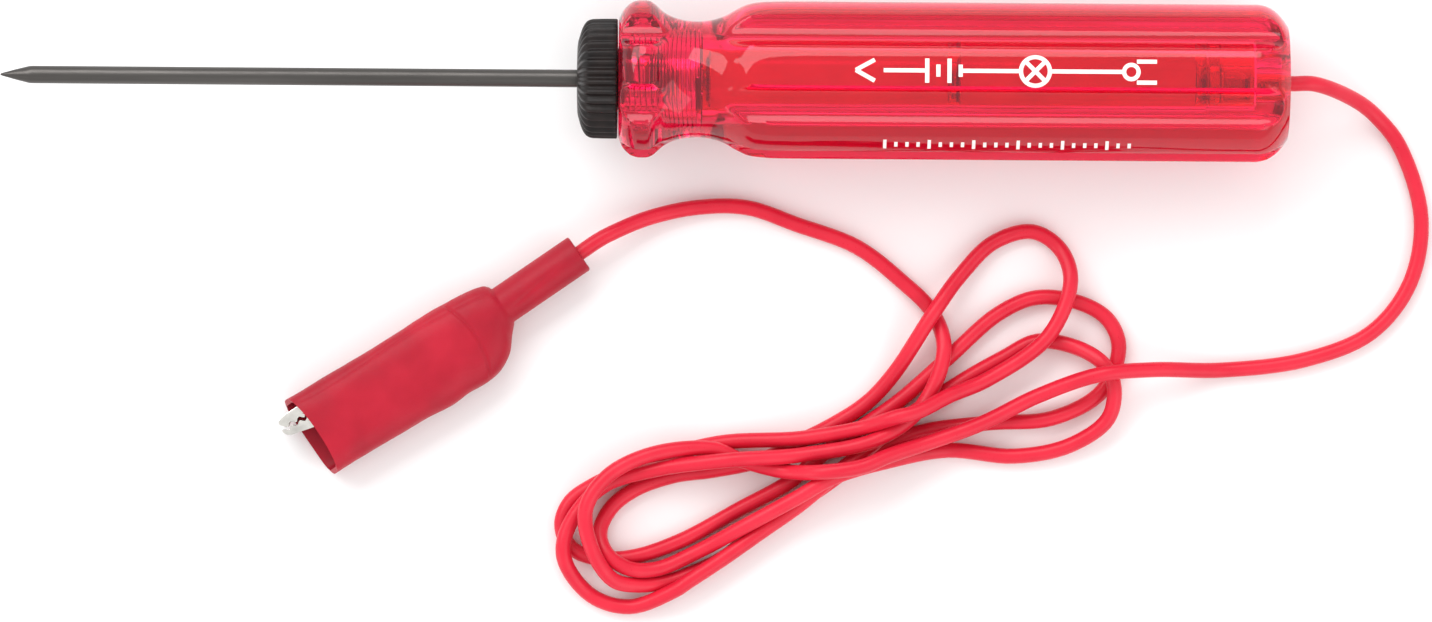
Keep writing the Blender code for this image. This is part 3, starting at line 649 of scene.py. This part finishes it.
def add_stroke(bm, path, middle, width=STROKE, closed=False):
    """A flat stroke of ink along path, given as (along, across) points."""
    points = [Vector(p) for p in path]
    rows = []
    count = len(points)
    for i, here in enumerate(points):
        before = points[(i - 1) % count] if closed or i else here
        after = points[(i + 1) % count] if closed or i + 1 < count else here
        ahead = (after - before).normalized()
        side = Vector((-ahead.y, ahead.x)) * width / 2
        row = []
        for edge, lift in ((side, MARK_LIFT), (side, MARK_LIFT + MARK_THICKNESS),
                           (-side, MARK_LIFT + MARK_THICKNESS), (-side, MARK_LIFT)):
            place = here + edge
            row.append(bm.verts.new(mark_place(place.x, place.y, middle, lift)))
        rows.append(row)
    join_all(bm, rows, closed=closed)
    if not closed:
        bm.faces.new(rows[0])
        bm.faces.new(rows[-1])


def line_points(start, end):
    steps = max(2, int((Vector(end) - Vector(start)).length / 0.8))
    return [tuple(Vector(start).lerp(Vector(end), i / steps)) for i in range(steps + 1)]


def circle_points(centre, radius, count=28):
    made = []
    for i in range(count):
        turn = 2 * math.pi * i / count
        made.append((centre[0] + radius * math.cos(turn), centre[1] + radius * math.sin(turn)))
    return made


def make_marks(look):
    """A wordless circuit: probe terminal, two cells, lamp and clip terminal, and a row of ticks."""
    bm = bmesh.new()
    strokes = [line_points((47.6, 0.0), (55.0, 0.0)), line_points((61.6, 0.0), (72.0, 0.0)),
               line_points((77.6, 0.0), (90.6, 0.0))]
    for along, half in ((55.4, 2.2), (57.4, 1.1), (59.4, 2.2), (61.4, 1.1)):
        strokes.append(line_points((along, -half), (along, half)))
    reach = LAMP_SIGN_RADIUS * math.sqrt(0.5)
    for side in (-1, 1):
        strokes.append(line_points((LAMP_SIGN - reach, side * reach),
                                   (LAMP_SIGN + reach, -side * reach)))
        strokes.append(line_points((42.6, 0.0), (46.0, 1.9 * side)))
        strokes.append(line_points((96.6, 1.9 * side), (93.0, 1.9 * side)))
    for path in strokes:
        add_stroke(bm, path, CIRCUIT_ANGLE)
    add_stroke(bm, circle_points((LAMP_SIGN, 0.0), LAMP_SIGN_RADIUS), CIRCUIT_ANGLE, closed=True)
    add_stroke(bm, circle_points((92.0, 0.0), 1.3), CIRCUIT_ANGLE, closed=True)
    finish_piece("printed_circuit", bm, look, TESTER_MATRIX, "handle")
    bm = bmesh.new()
    for i in range(23):
        half = 1.3 if i % 4 == 0 else 0.7
        along = 48.0 + 2.0 * i
        add_stroke(bm, line_points((along, -half), (along, half)), TICKS_ANGLE, 0.6)
    finish_piece("printed_ticks", bm, look, TESTER_MATRIX, "handle")


# ---------------------------------------------------------------- cap and probe
def cap_rim(radius, depth):
    """A rim with smooth grooves and narrow ridges between them."""
    def radius_at(angle):
        wave = abs(math.cos(math.radians(angle * CAP_FLUTES / 2)))
        return radius - 1.15 * depth * wave**2.2

    return radius_at


def make_cap(look):
    bm = bmesh.new()
    fine = even_angles(CAP_FLUTES * 10)
    coarse = even_angles(96)
    rim = [
        (-7.5, 6.2, 0.0), (-7.4, 6.8, 0.1), (-7.2, 7.5, 0.35), (-6.95, 8.4, 0.5), (-6.65, 9.2, 0.55),
        (-6.3, 9.85, 0.58), (-5.9, 10.35, 0.6), (-5.4, 10.65, 0.6), (-4.8, 10.8, 0.6),
        (-3.0, 10.85, 0.6), (-1.2, 10.87, 0.6), (-0.5, 10.87, 0.6), (CAP_REAR, 10.7, 0.55),
    ]
    rim_rings = [ring(bm, along, cap_rim(radius, depth), fine) for along, radius, depth in rim]
    join_all(bm, rim_rings)
    brow = [ring(bm, along, radius, coarse) for along, radius in (
        (CAP_FRONT + 0.25, PROBE_HOLE_RADIUS), (CAP_FRONT, PROBE_HOLE_RADIUS + 0.25),
        (CAP_FRONT, 3.6), (CAP_FRONT + 0.04, 5.0), (CAP_FRONT + 0.07, 5.9),
    )]
    join_all(bm, brow)
    zip_rings(bm, brow[-1], coarse, rim_rings[0], fine)
    root = ring(bm, CAP_REAR, SCREW_ROOT, coarse)
    zip_rings(bm, rim_rings[-1], fine, root, coarse)
    lead_in = ring(bm, THREAD_START / 2, SCREW_ROOT, coarse)
    join_rings(bm, root, lead_in)
    thread_end = THREAD_START + (SCREW_TURNS + 1) * THREAD_PITCH + 0.1
    inside = [thread(bm, lead_in, THREAD_START, SCREW_TURNS, SCREW_ROOT, SCREW_CREST, thread_end)]
    for along, radius in (
        (SPIGOT_END - 0.2, SCREW_ROOT - 0.05), (SPIGOT_END, SCREW_ROOT - 0.25),
        (SPIGOT_END, SPIGOT_BORE_RADIUS + 0.15), (SPIGOT_END - 0.15, SPIGOT_BORE_RADIUS),
        (SPIGOT_BORE_START, SPIGOT_BORE_RADIUS), (SPIGOT_BORE_START, PROBE_HOLE_RADIUS),
    ):
        inside.append(ring(bm, along, radius, coarse))
    join_all(bm, inside)
    join_rings(bm, inside[-1], brow[0])
    finish_piece("screw_cap", bm, look, TESTER_MATRIX, "cap", ["threaded_cap"], 50.0)


def make_probe(steel, brass):
    tip = -PROBE_REACH
    turned("probe", [
        (tip, 0.05), (tip + 0.12, 0.2), (tip + PROBE_CONE * 0.5, 0.93),
        (tip + PROBE_CONE, PROBE_RADIUS),
        (PROBE_REAR - 0.3, PROBE_RADIUS), (PROBE_REAR, PROBE_RADIUS - 0.3),
    ], steel, "cap", ["probe_shank"], 64, ease=0.4)
    front, rear = SPIGOT_BORE_START + GAP, PROBE_REAR
    turned("bushing", [
        (front, PROBE_HOLE_RADIUS), (front, SPIGOT_BORE_RADIUS - GAP), (front + 0.9, 4.3),
        (front + 1.1, 4.0), (front + 1.3, 4.3), (rear - 0.8, SPIGOT_BORE_RADIUS - GAP),
        (rear, 3.2), (rear, PROBE_HOLE_RADIUS),
    ], brass, "cap", ["probe_bushing"], hollow=True, ease=0.1)


# ---------------------------------------------------------------- inside the handle
def make_contact(steel, brass):
    front, rear, radius, wire = 7.0, 13.35, 3.5, 0.3
    turns, steps = 6, 24
    points = []
    for i in range(turns * steps + 1):
        done = i / steps
        closed = 2 * wire + 0.02
        if done < 1:
            along = front + closed * done * 0.6
        elif done > turns - 1:
            along = rear - closed * (turns - done) * 0.6
        else:
            share = (done - 1) / (turns - 2)
            along = front + closed * 0.6 + (rear - front - 1.2 * closed) * share
        turn = 2 * math.pi * done
        points.append((along, radius * math.cos(turn), radius * math.sin(turn)))
    tube_along("spring", points, wire, steel, "cap_travel", ["contact_spring"])
    turned("button", [
        (14.0, 0.9), (14.0, 4.2), (14.6, 4.2), (14.8, 2.0), (15.2, 1.6),
    ], brass, "cap_travel", ["contact_button"])


def make_cell(place, first, steel, plate, sleeve):
    start = first + CELL_NUB
    end = first + CELL_LENGTH - 2 * GAP - 0.1
    node = f"cell_{place}"
    turned(f"{place}_cell_can", [
        (first, 1.2), (first, 1.9), (start, 1.95), (start, 3.9), (start + 0.5, CAN_RADIUS),
        (end - 0.5, CAN_RADIUS), (end, CAN_RADIUS - 0.3),
    ], steel, "handle", [f"{node}_can"], ease=0.2)
    turned(f"{place}_cell_plate", [
        (end + GAP, 4.2), (end + GAP, 4.3), (first + CELL_LENGTH, 4.25), (first + CELL_LENGTH, 2.0),
    ], plate, "handle", [f"{node}_negative_plate"], ease=0.1)
    turned(f"{place}_cell_sleeve", [
        (start + 0.7, SLEEVE_INNER), (start + 0.7, SLEEVE_OUTER), (end, SLEEVE_OUTER),
        (end, SLEEVE_INNER),
    ], sleeve, "handle", [f"{node}_sleeve"], hollow=True, ease=0.08)


def make_lamp(glass, brass, solder, steel):
    turned("tip_contact", [(105.0, 0.4), (105.1, 0.9), (105.4, 1.05), (105.7, 1.0)], solder,
           "handle", ["lamp_tip_contact"], 32)
    turned("lamp_shell", [
        (106.0, 1.5), (106.7, 2.6), (108.6, 2.6), (108.6, 3.5), (109.1, 3.5), (109.1, 2.0),
    ], brass, "handle", ["lamp_base"], ease=0.12)
    outer = [(109.4, 2.0), (109.7, 2.35)]
    inner = [(109.4, 1.75), (109.7, 2.1)]
    for step in range(9):
        turn = math.radians(11.0 * step)
        for dome, radius in ((outer, BULB_RADIUS), (inner, BULB_RADIUS - BULB_GLASS)):
            dome.append((BULB_CENTRE + radius * math.sin(turn), radius * math.cos(turn)))
    turned("bulb", outer + inner[::-1], glass, "handle", ["lamp_glass"], 48,
           hollow=True, ease=0.02)
    turned("lamp_ring", [
        (106.5, 2.9), (106.5, 4.7), (108.3, 4.7), (108.3, 2.9),
    ], brass, "handle", ["lamp_socket"], hollow=True)
    for side in (-1, 1):
        tube_along(f"filament_post_{'left' if side < 0 else 'right'}",
                   [(109.3, 0.7 * side, 0.0), (110.5, 0.75 * side, 0.0), (111.4, 0.9 * side, 0.0)],
                   0.09, steel, "handle")
    coil = []
    for i in range(97):
        turn = 2 * math.pi * i / 12
        coil.append((111.5 + 0.12 * math.cos(turn), -0.95 + 1.9 * i / 96, 0.12 * math.sin(turn)))
    tube_along("filament", coil, 0.03, steel, "handle", sides=6)


def make_terminal(brass, copper):
    """A bent strip from the lamp's ring to the middle of the butt, and the lead's bare end."""
    outline = eased([
        (108.6, -4.6), (114.3, -4.6), (114.3, 1.0), (113.9, 1.0), (113.9, -4.15), (108.6, -4.15),
    ], 0.3, closed=True)
    bm = bmesh.new()
    rows = [[bm.verts.new((x, y, z)) for x, z in outline] for y in (-1.2, -1.1, 1.1, 1.2)]
    join_all(bm, rows)
    bm.faces.new(rows[0])
    bm.faces.new(rows[-1])
    finish_piece("terminal", bm, brass, TESTER_MATRIX, "handle", ["lead_terminal"])
    strands("bare_end_at_lamp", 114.6, 115.9, copper, ["lead_core_at_lamp"], TESTER_MATRIX)


def strands(name, start, end, look, nodes, matrix):
    """Seven twisted copper strands."""
    bm = bmesh.new()
    for k in range(7):
        rings = []
        for i in range(13):
            share = i / 12
            turn = 2 * math.pi * (k / 6 + share * 0.8)
            off = 0.0 if k == 6 else 0.36
            centre = Vector((start + (end - start) * share, off * math.cos(turn), off * math.sin(turn)))
            rings.append([bm.verts.new(centre + Vector((
                0.0, 0.175 * math.cos(math.pi * s / 4), 0.175 * math.sin(math.pi * s / 4)
            ))) for s in range(8)])
        join_all(bm, rings)
        bm.faces.new(rings[0])
        bm.faces.new(rings[-1])
    finish_piece(name, bm, look, matrix, "handle", nodes)


# ---------------------------------------------------------------- clip
def teeth(start, end, count, depth):
    """A zigzag line of teeth from start to end."""
    made = []
    run = Vector(end) - Vector(start)
    side = Vector((-run.y, run.x)).normalized() * depth
    for i in range(count):
        for share, rise in ((0.0, 0.0), (0.5, 1.0)):
            made.append(tuple(Vector(start) + run * ((i + share) / count) + side * rise))
    made.append(tuple(end))
    return made


def plate(outline, half_width):
    bm = bmesh.new()
    low = [bm.verts.new((u, v, -half_width)) for u, v in outline]
    high = [bm.verts.new((u, v, half_width)) for u, v in outline]
    join_rings(bm, low, high)
    bm.faces.new(low)
    bm.faces.new(high)
    return plain_object(bm)


def plain_object(bm):
    bmesh.ops.recalc_face_normals(bm, faces=bm.faces)
    bmesh.ops.scale(bm, vec=(MM, MM, MM), verts=bm.verts)
    bmesh.ops.transform(bm, matrix=CLIP_MATRIX, verts=bm.verts)
    mesh = bpy.data.meshes.new("blank")
    bm.to_mesh(mesh)
    bm.free()
    made = bpy.data.objects.new("blank", mesh)
    bpy.context.scene.collection.objects.link(made)
    return made


def round_cutter(place, radius, half):
    bm = bmesh.new()
    bmesh.ops.create_cone(bm, cap_ends=True, segments=40, radius1=radius, radius2=radius,
                          depth=2 * half)
    bmesh.ops.translate(bm, verts=bm.verts, vec=(place[0], place[1], 0.0))
    return plain_object(bm)


def pressed(name, blank, cutters, look, body, nodes):
    """Cuts the blank, rounds its edges and makes the result a piece."""
    for cutter in cutters:
        step = blank.modifiers.new("cut", "BOOLEAN")
        step.operation = "DIFFERENCE"
        step.solver = "EXACT"
        step.object = cutter
    edge = blank.modifiers.new("edge", "BEVEL")
    edge.width = SHEET_EDGE * MM
    edge.segments = 2
    edge.limit_method = "ANGLE"
    edge.angle_limit = math.radians(35.0)
    graph = bpy.context.evaluated_depsgraph_get()
    mesh = bpy.data.meshes.new_from_object(blank.evaluated_get(graph))
    for old in [blank, *cutters]:
        bpy.data.objects.remove(old)
    mesh.name = name
    mesh.shade_smooth()
    mesh.set_sharp_from_angle(angle=math.radians(40.0))
    mesh.materials.clear()
    mesh.materials.append(look.material)
    piece = bpy.data.objects.new(name, mesh)
    bpy.context.scene.collection.objects.link(piece)
    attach(piece, body)
    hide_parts(*nodes)
    return piece


def make_fixed_jaw(look):
    back = [(37.6, 1.2), (37.6, 2.4), (33.0, 4.1), (26.0, 4.4), (17.0, 4.6), (10.0, 5.2), (2.0, 5.9),
            (-2.0, 6.0), (-3.1, 5.7), (-3.5, 5.0)]
    bite = teeth((-3.2, 4.6), (9.0, 3.7), 7, -0.9)
    front = [(12.0, 1.6), (14.6, -1.2), (19.4, -1.2), (22.0, 1.4), (26.0, 3.3), (33.0, 3.0),
             (36.6, 1.2)]
    hollow = [(36.0, 0.0), (36.0, 2.3), (32.8, 3.5), (26.0, 3.8), (17.0, 4.0), (10.0, 4.6),
              (2.0, 5.3), (-1.5, 5.3), (-1.5, 2.0), (10.0, -3.0), (24.0, -3.0)]
    blank = plate(eased(back + bite + front, 0.45, True), FIXED_HALF_WIDTH)
    cutters = [plate(hollow, FIXED_HALF_WIDTH - SHEET), round_cutter(PIVOT, PIVOT_HOLE_RADIUS, 5.0)]
    return pressed("fixed_jaw", blank, cutters, look, "handle", ["clip_fixed_jaw"])


def make_moving_jaw(look):
    back = [(35.0, -8.2), (31.0, -8.4), (24.0, -7.6), (17.0, -4.2), (12.0, -2.6), (5.0, 0.2),
            (-1.5, 1.9), (-2.8, 2.2), (-3.6, 3.0), (-3.7, 3.7)]
    bite = teeth((-3.4, 4.0), (8.7, 3.0), 7, -0.9)
    front = [(12.0, 2.4), (19.2, 2.4), (22.5, -1.8), (26.0, -6.0), (31.0, -7.2), (35.0, -7.2)]
    hollow = [(36.0, -7.6), (31.0, -7.75), (24.0, -6.95), (17.0, -3.55), (12.0, -1.95), (5.0, 0.85),
              (-1.0, 2.65), (-1.0, 6.0), (22.0, 6.0), (36.0, 0.0)]
    blank = plate(eased(back + bite + front, 0.45, True), MOVING_HALF_WIDTH)
    cutters = [plate(hollow, MOVING_HALF_WIDTH - SHEET), round_cutter(PIVOT, PIVOT_HOLE_RADIUS, 5.0)]
    return pressed("moving_jaw", blank, cutters, look, "clip_jaw", ["clip_moving_jaw"])


def make_pin(look):
    half, radius, head = 3.6, 1.0, 0.35
    bm = bmesh.new()
    rows = []
    for lift, size in ((-half, 0.7), (-half + 0.1, radius + head), (-half + 0.45, radius + head),
                       (-half + 0.5, radius), (half - 0.5, radius), (half - 0.45, radius + head),
                       (half - 0.1, radius + head), (half, 0.7)):
        rows.append([bm.verts.new((PIVOT[0] + size * math.cos(math.radians(a)),
                                   PIVOT[1] + size * math.sin(math.radians(a)), lift))
                     for a in even_angles(40)])
    join_all(bm, rows)
    bm.faces.new(rows[0])
    bm.faces.new(rows[-1])
    return finish_piece("pivot_pin", bm, look, CLIP_MATRIX, "handle", ["clip_pivot_pin"],
                        30.0)


def make_clip_spring(look):
    radius, wire, turns, steps, half = 1.85, 0.25, 2.5, 24, 1.2
    count = int(turns * steps)
    points = [(9.0, 2.7, -half), (6.0, 2.6, -half), (3.5, 2.3, -half)]
    for i in range(count + 1):
        turn = math.radians(60.0) - 2 * math.pi * i / steps
        lift = -half + 2 * half * i / count
        points.append((radius * math.cos(turn), radius * math.sin(turn), lift))
    points += [(3.0, -3.2, half), (6.0, -5.0, half), (9.0, -6.6, half)]
    points = [(u + PIVOT[0], v + PIVOT[1], lift) for u, v, lift in points]
    piece = tube_along("torsion_spring", points, wire, look, None, ["clip_spring"],
                       matrix=CLIP_MATRIX)
    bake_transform(piece)
    return piece


def boot_relief(u, v, z, up):
    """How far the boot's skin lies under its smooth shape: soft waves, a crease across it, folds
    along its body and tube, and a raised pad."""
    waves = 0.16 * noise.noise(Vector((u * 0.13, v * 0.2, z * 0.2 + 3.0)))
    waves += 0.05 * noise.noise(Vector((u * 0.4, v * 0.5, z * 0.5 - 7.0)))
    off_crease = (u - 35.2 + 0.03 * (v + 1.5) ** 2) / 0.3
    crease = 0.27 * math.exp(-off_crease**2) * min(1.0, max(0.0, z / 3.0))
    off_fold = (v - up + 1.5 + 0.25 * math.sin(u * 0.21)) / 0.3
    fold = 0.17 * math.exp(-off_fold**2) if z > 0 and u < 41.0 else 0.0
    pad = 0.22 * math.exp(-((u - 24.0) / 4.5) ** 4 - ((v + 6.3) / 1.9) ** 4) if z > 0 else 0.0
    on_body = min(1.0, u / 2.0, max(0.0, (42.0 - u) / 2.0))
    off_line = (v + 1.3 - 0.14 * (u - 44.0)) / 0.45
    line = 0.16 * math.exp(-off_line**2) if z > 0 else 0.0
    on_tube = min(1.0, max(0.0, (u - 43.0) / 2.0), max(0.0, (BOOT_LENGTH - 4.0 - u) / 4.0))
    return (waves + crease + fold - pad) * on_body + line * on_tube


def boot_ring(bm, station, slant, relief=False):
    """One section of the boot: a superellipse that is wider on one side than on the other."""
    u, up, down, height, power = station
    made = []
    for i in range(BOOT_SIDES):
        turn = 2 * math.pi * i / BOOT_SIDES
        across, lift = math.cos(turn), math.sin(turn)
        v = math.copysign(abs(across) ** (2 / power), across) * (up if across > 0 else down)
        z = math.copysign(abs(lift) ** (2 / power), lift) * height
        if relief:
            share = 1.0 - boot_relief(u, v, z, up) / math.hypot(v, z)
            v, z = v * share, max(z * share, -BOOT_HALF_HEIGHT)
        bow = MOUTH_BOW * max(z, 0.0) * (1.0 - (v / BOOT_MOUTH_HALF_WIDTH) ** 2)
        made.append(bm.verts.new((u + slant * (z + bow) / height, v, z)))
    return made


def mouth_slant(u):
    return MOUTH_SLANT * max(0.0, 1.0 - u / 8.0)


def make_boot(look):
    tall, tube, bore = BOOT_HALF_HEIGHT, BOOT_TUBE_RADIUS, BOOT_TUBE_BORE
    body = [
        (0.0, 8.1, 8.1, tall, 3.3), (7.9, 7.6, 8.5, tall, 3.1), (14.0, 7.2, 8.8, tall, 3.0),
        (19.7, 6.9, 9.2, tall, 2.9), (24.4, 6.7, 9.85, tall, 2.8), (28.5, 6.6, 9.75, tall, 2.7),
        (32.1, 6.5, 9.95, tall, 2.6), (35.4, 6.2, 9.5, tall, 2.5), (38.6, 5.7, 7.8, 4.6, 2.3),
        (40.6, 5.2, 5.5, 4.3, 2.1), (41.5, 4.8, 4.6, 4.1, 2.05), (42.1, 4.1, 4.0, 3.8, 2.0),
    ]
    sizes = smooth_curve([(u, up, down) for u, up, down, _, _ in body], 22)
    rest = smooth_curve([(u, height, power) for u, _, _, height, power in body], 22)
    outside = [(*size, *more.yz) for size, more in zip(sizes, rest)]
    outside.append((42.3, 3.7, 3.7, 3.65, 2.0))
    on_tube = [42.5 + (BOOT_LENGTH - 0.35 - 42.5) * i / TUBE_STEPS for i in range(TUBE_STEPS + 1)]
    outside += [(u, tube, tube, tube, 2.0) for u in on_tube]
    outside += [(BOOT_LENGTH - 0.1, tube - 0.1, tube - 0.1, tube - 0.1, 2.0),
                (BOOT_LENGTH, tube - 0.35, tube - 0.35, tube - 0.35, 2.0)]
    inside = [
        (u, up - BOOT_WALL, down - BOOT_WALL, height - BOOT_WALL, 1.6 * power)
        for u, up, down, height, power in body[:9]
    ]
    inside += [(41.0, 3.4, 3.4, 3.0, 2.0), (43.8, 2.4, 2.4, 2.4, 2.0), (44.2, bore, bore, bore, 2.0),
               (BOOT_LENGTH - 0.2, bore, bore, bore, 2.0),
               (BOOT_LENGTH, bore + 0.2, bore + 0.2, bore + 0.2, 2.0)]
    bm = bmesh.new()
    rings = [boot_ring(bm, station, mouth_slant(station[0]), True) for station in outside]
    rings += [boot_ring(bm, station, mouth_slant(station[0])) for station in reversed(inside)]
    join_all(bm, rings, closed=True)
    return finish_piece("boot", bm, look, CLIP_MATRIX, "handle", ["clip_boot"], 40.0)


def make_clip(nickel, steel, boot_look, copper):
    made = [make_fixed_jaw(nickel), make_moving_jaw(nickel), make_pin(nickel),
            make_clip_spring(steel), make_boot(boot_look)]
    made.append(turned("crimp", [(38.1, 0.85), (38.1, 1.7), (42.8, 1.7), (42.8, 0.85)], nickel,
                       "handle", ["clip_crimp"], hollow=True, matrix=CLIP_MATRIX))
    strands("bare_end_at_clip", 38.4, 43.4, copper, ["lead_core_at_clip"], CLIP_MATRIX)
    made.append(bpy.data.objects["bare_end_at_clip"])
    return made


# ---------------------------------------------------------------- the whole scene
def main():
    make_camera()
    make_stage()
    lead = make_lead(insulation())
    nickel = metal("nickel_plate", (0.82, 0.80, 0.75), (0.55, 0.53, 0.50), 0.16, (1.0, 1.0, 1.0), 0.8)
    spring = metal("spring_steel", (0.62, 0.62, 0.62), (0.45, 0.45, 0.46), 0.25, (1.0, 1.0, 1.0), 0.4)
    brass = metal("brass", (0.78, 0.56, 0.25), (0.62, 0.42, 0.16), 0.26, (1.0, 0.3, 0.3), 0.4)
    copper = metal("copper", (0.86, 0.45, 0.30), (0.66, 0.30, 0.18), 0.28, (0.3, 1.0, 1.0), 0.3)
    solder = metal("solder", (0.62, 0.62, 0.64), (0.42, 0.42, 0.45), 0.4, (1.0, 1.0, 1.0), 0.5)
    clip = make_clip(nickel, spring, vinyl(), copper)
    make_handle(clear_red())
    ink = moulded("white_ink", (0.93, 0.92, 0.90), (0.80, 0.78, 0.77), 0.45, 0.3, 1.2, 0.004)
    make_marks(ink)
    black = moulded("black_plastic", (0.017, 0.011, 0.010), (0.008, 0.006, 0.006), 0.36, 0.25,
                    3.0, 0.02)
    black.shader.inputs["Specular IOR Level"].default_value = 0.25
    make_cap(black)
    dark_steel = metal("dark_steel", (0.125, 0.118, 0.112), (0.07, 0.065, 0.062), 0.34,
                       (0.05, 1.0, 1.0), 0.22, depth=0.01)
    make_probe(dark_steel, brass)
    make_contact(spring, brass)
    sleeve = moulded("cell_sleeve", (0.90, 0.87, 0.84), (0.80, 0.77, 0.74), 0.32, 0.6, 9.0, 0.006)
    for i, place in enumerate(("front", "rear")):
        make_cell(place, CELL_FIRST + i * CELL_SPACING, spring, nickel, sleeve)
    make_lamp(lamp_glass_look(), brass, solder, spring)
    make_terminal(brass, copper)


main()
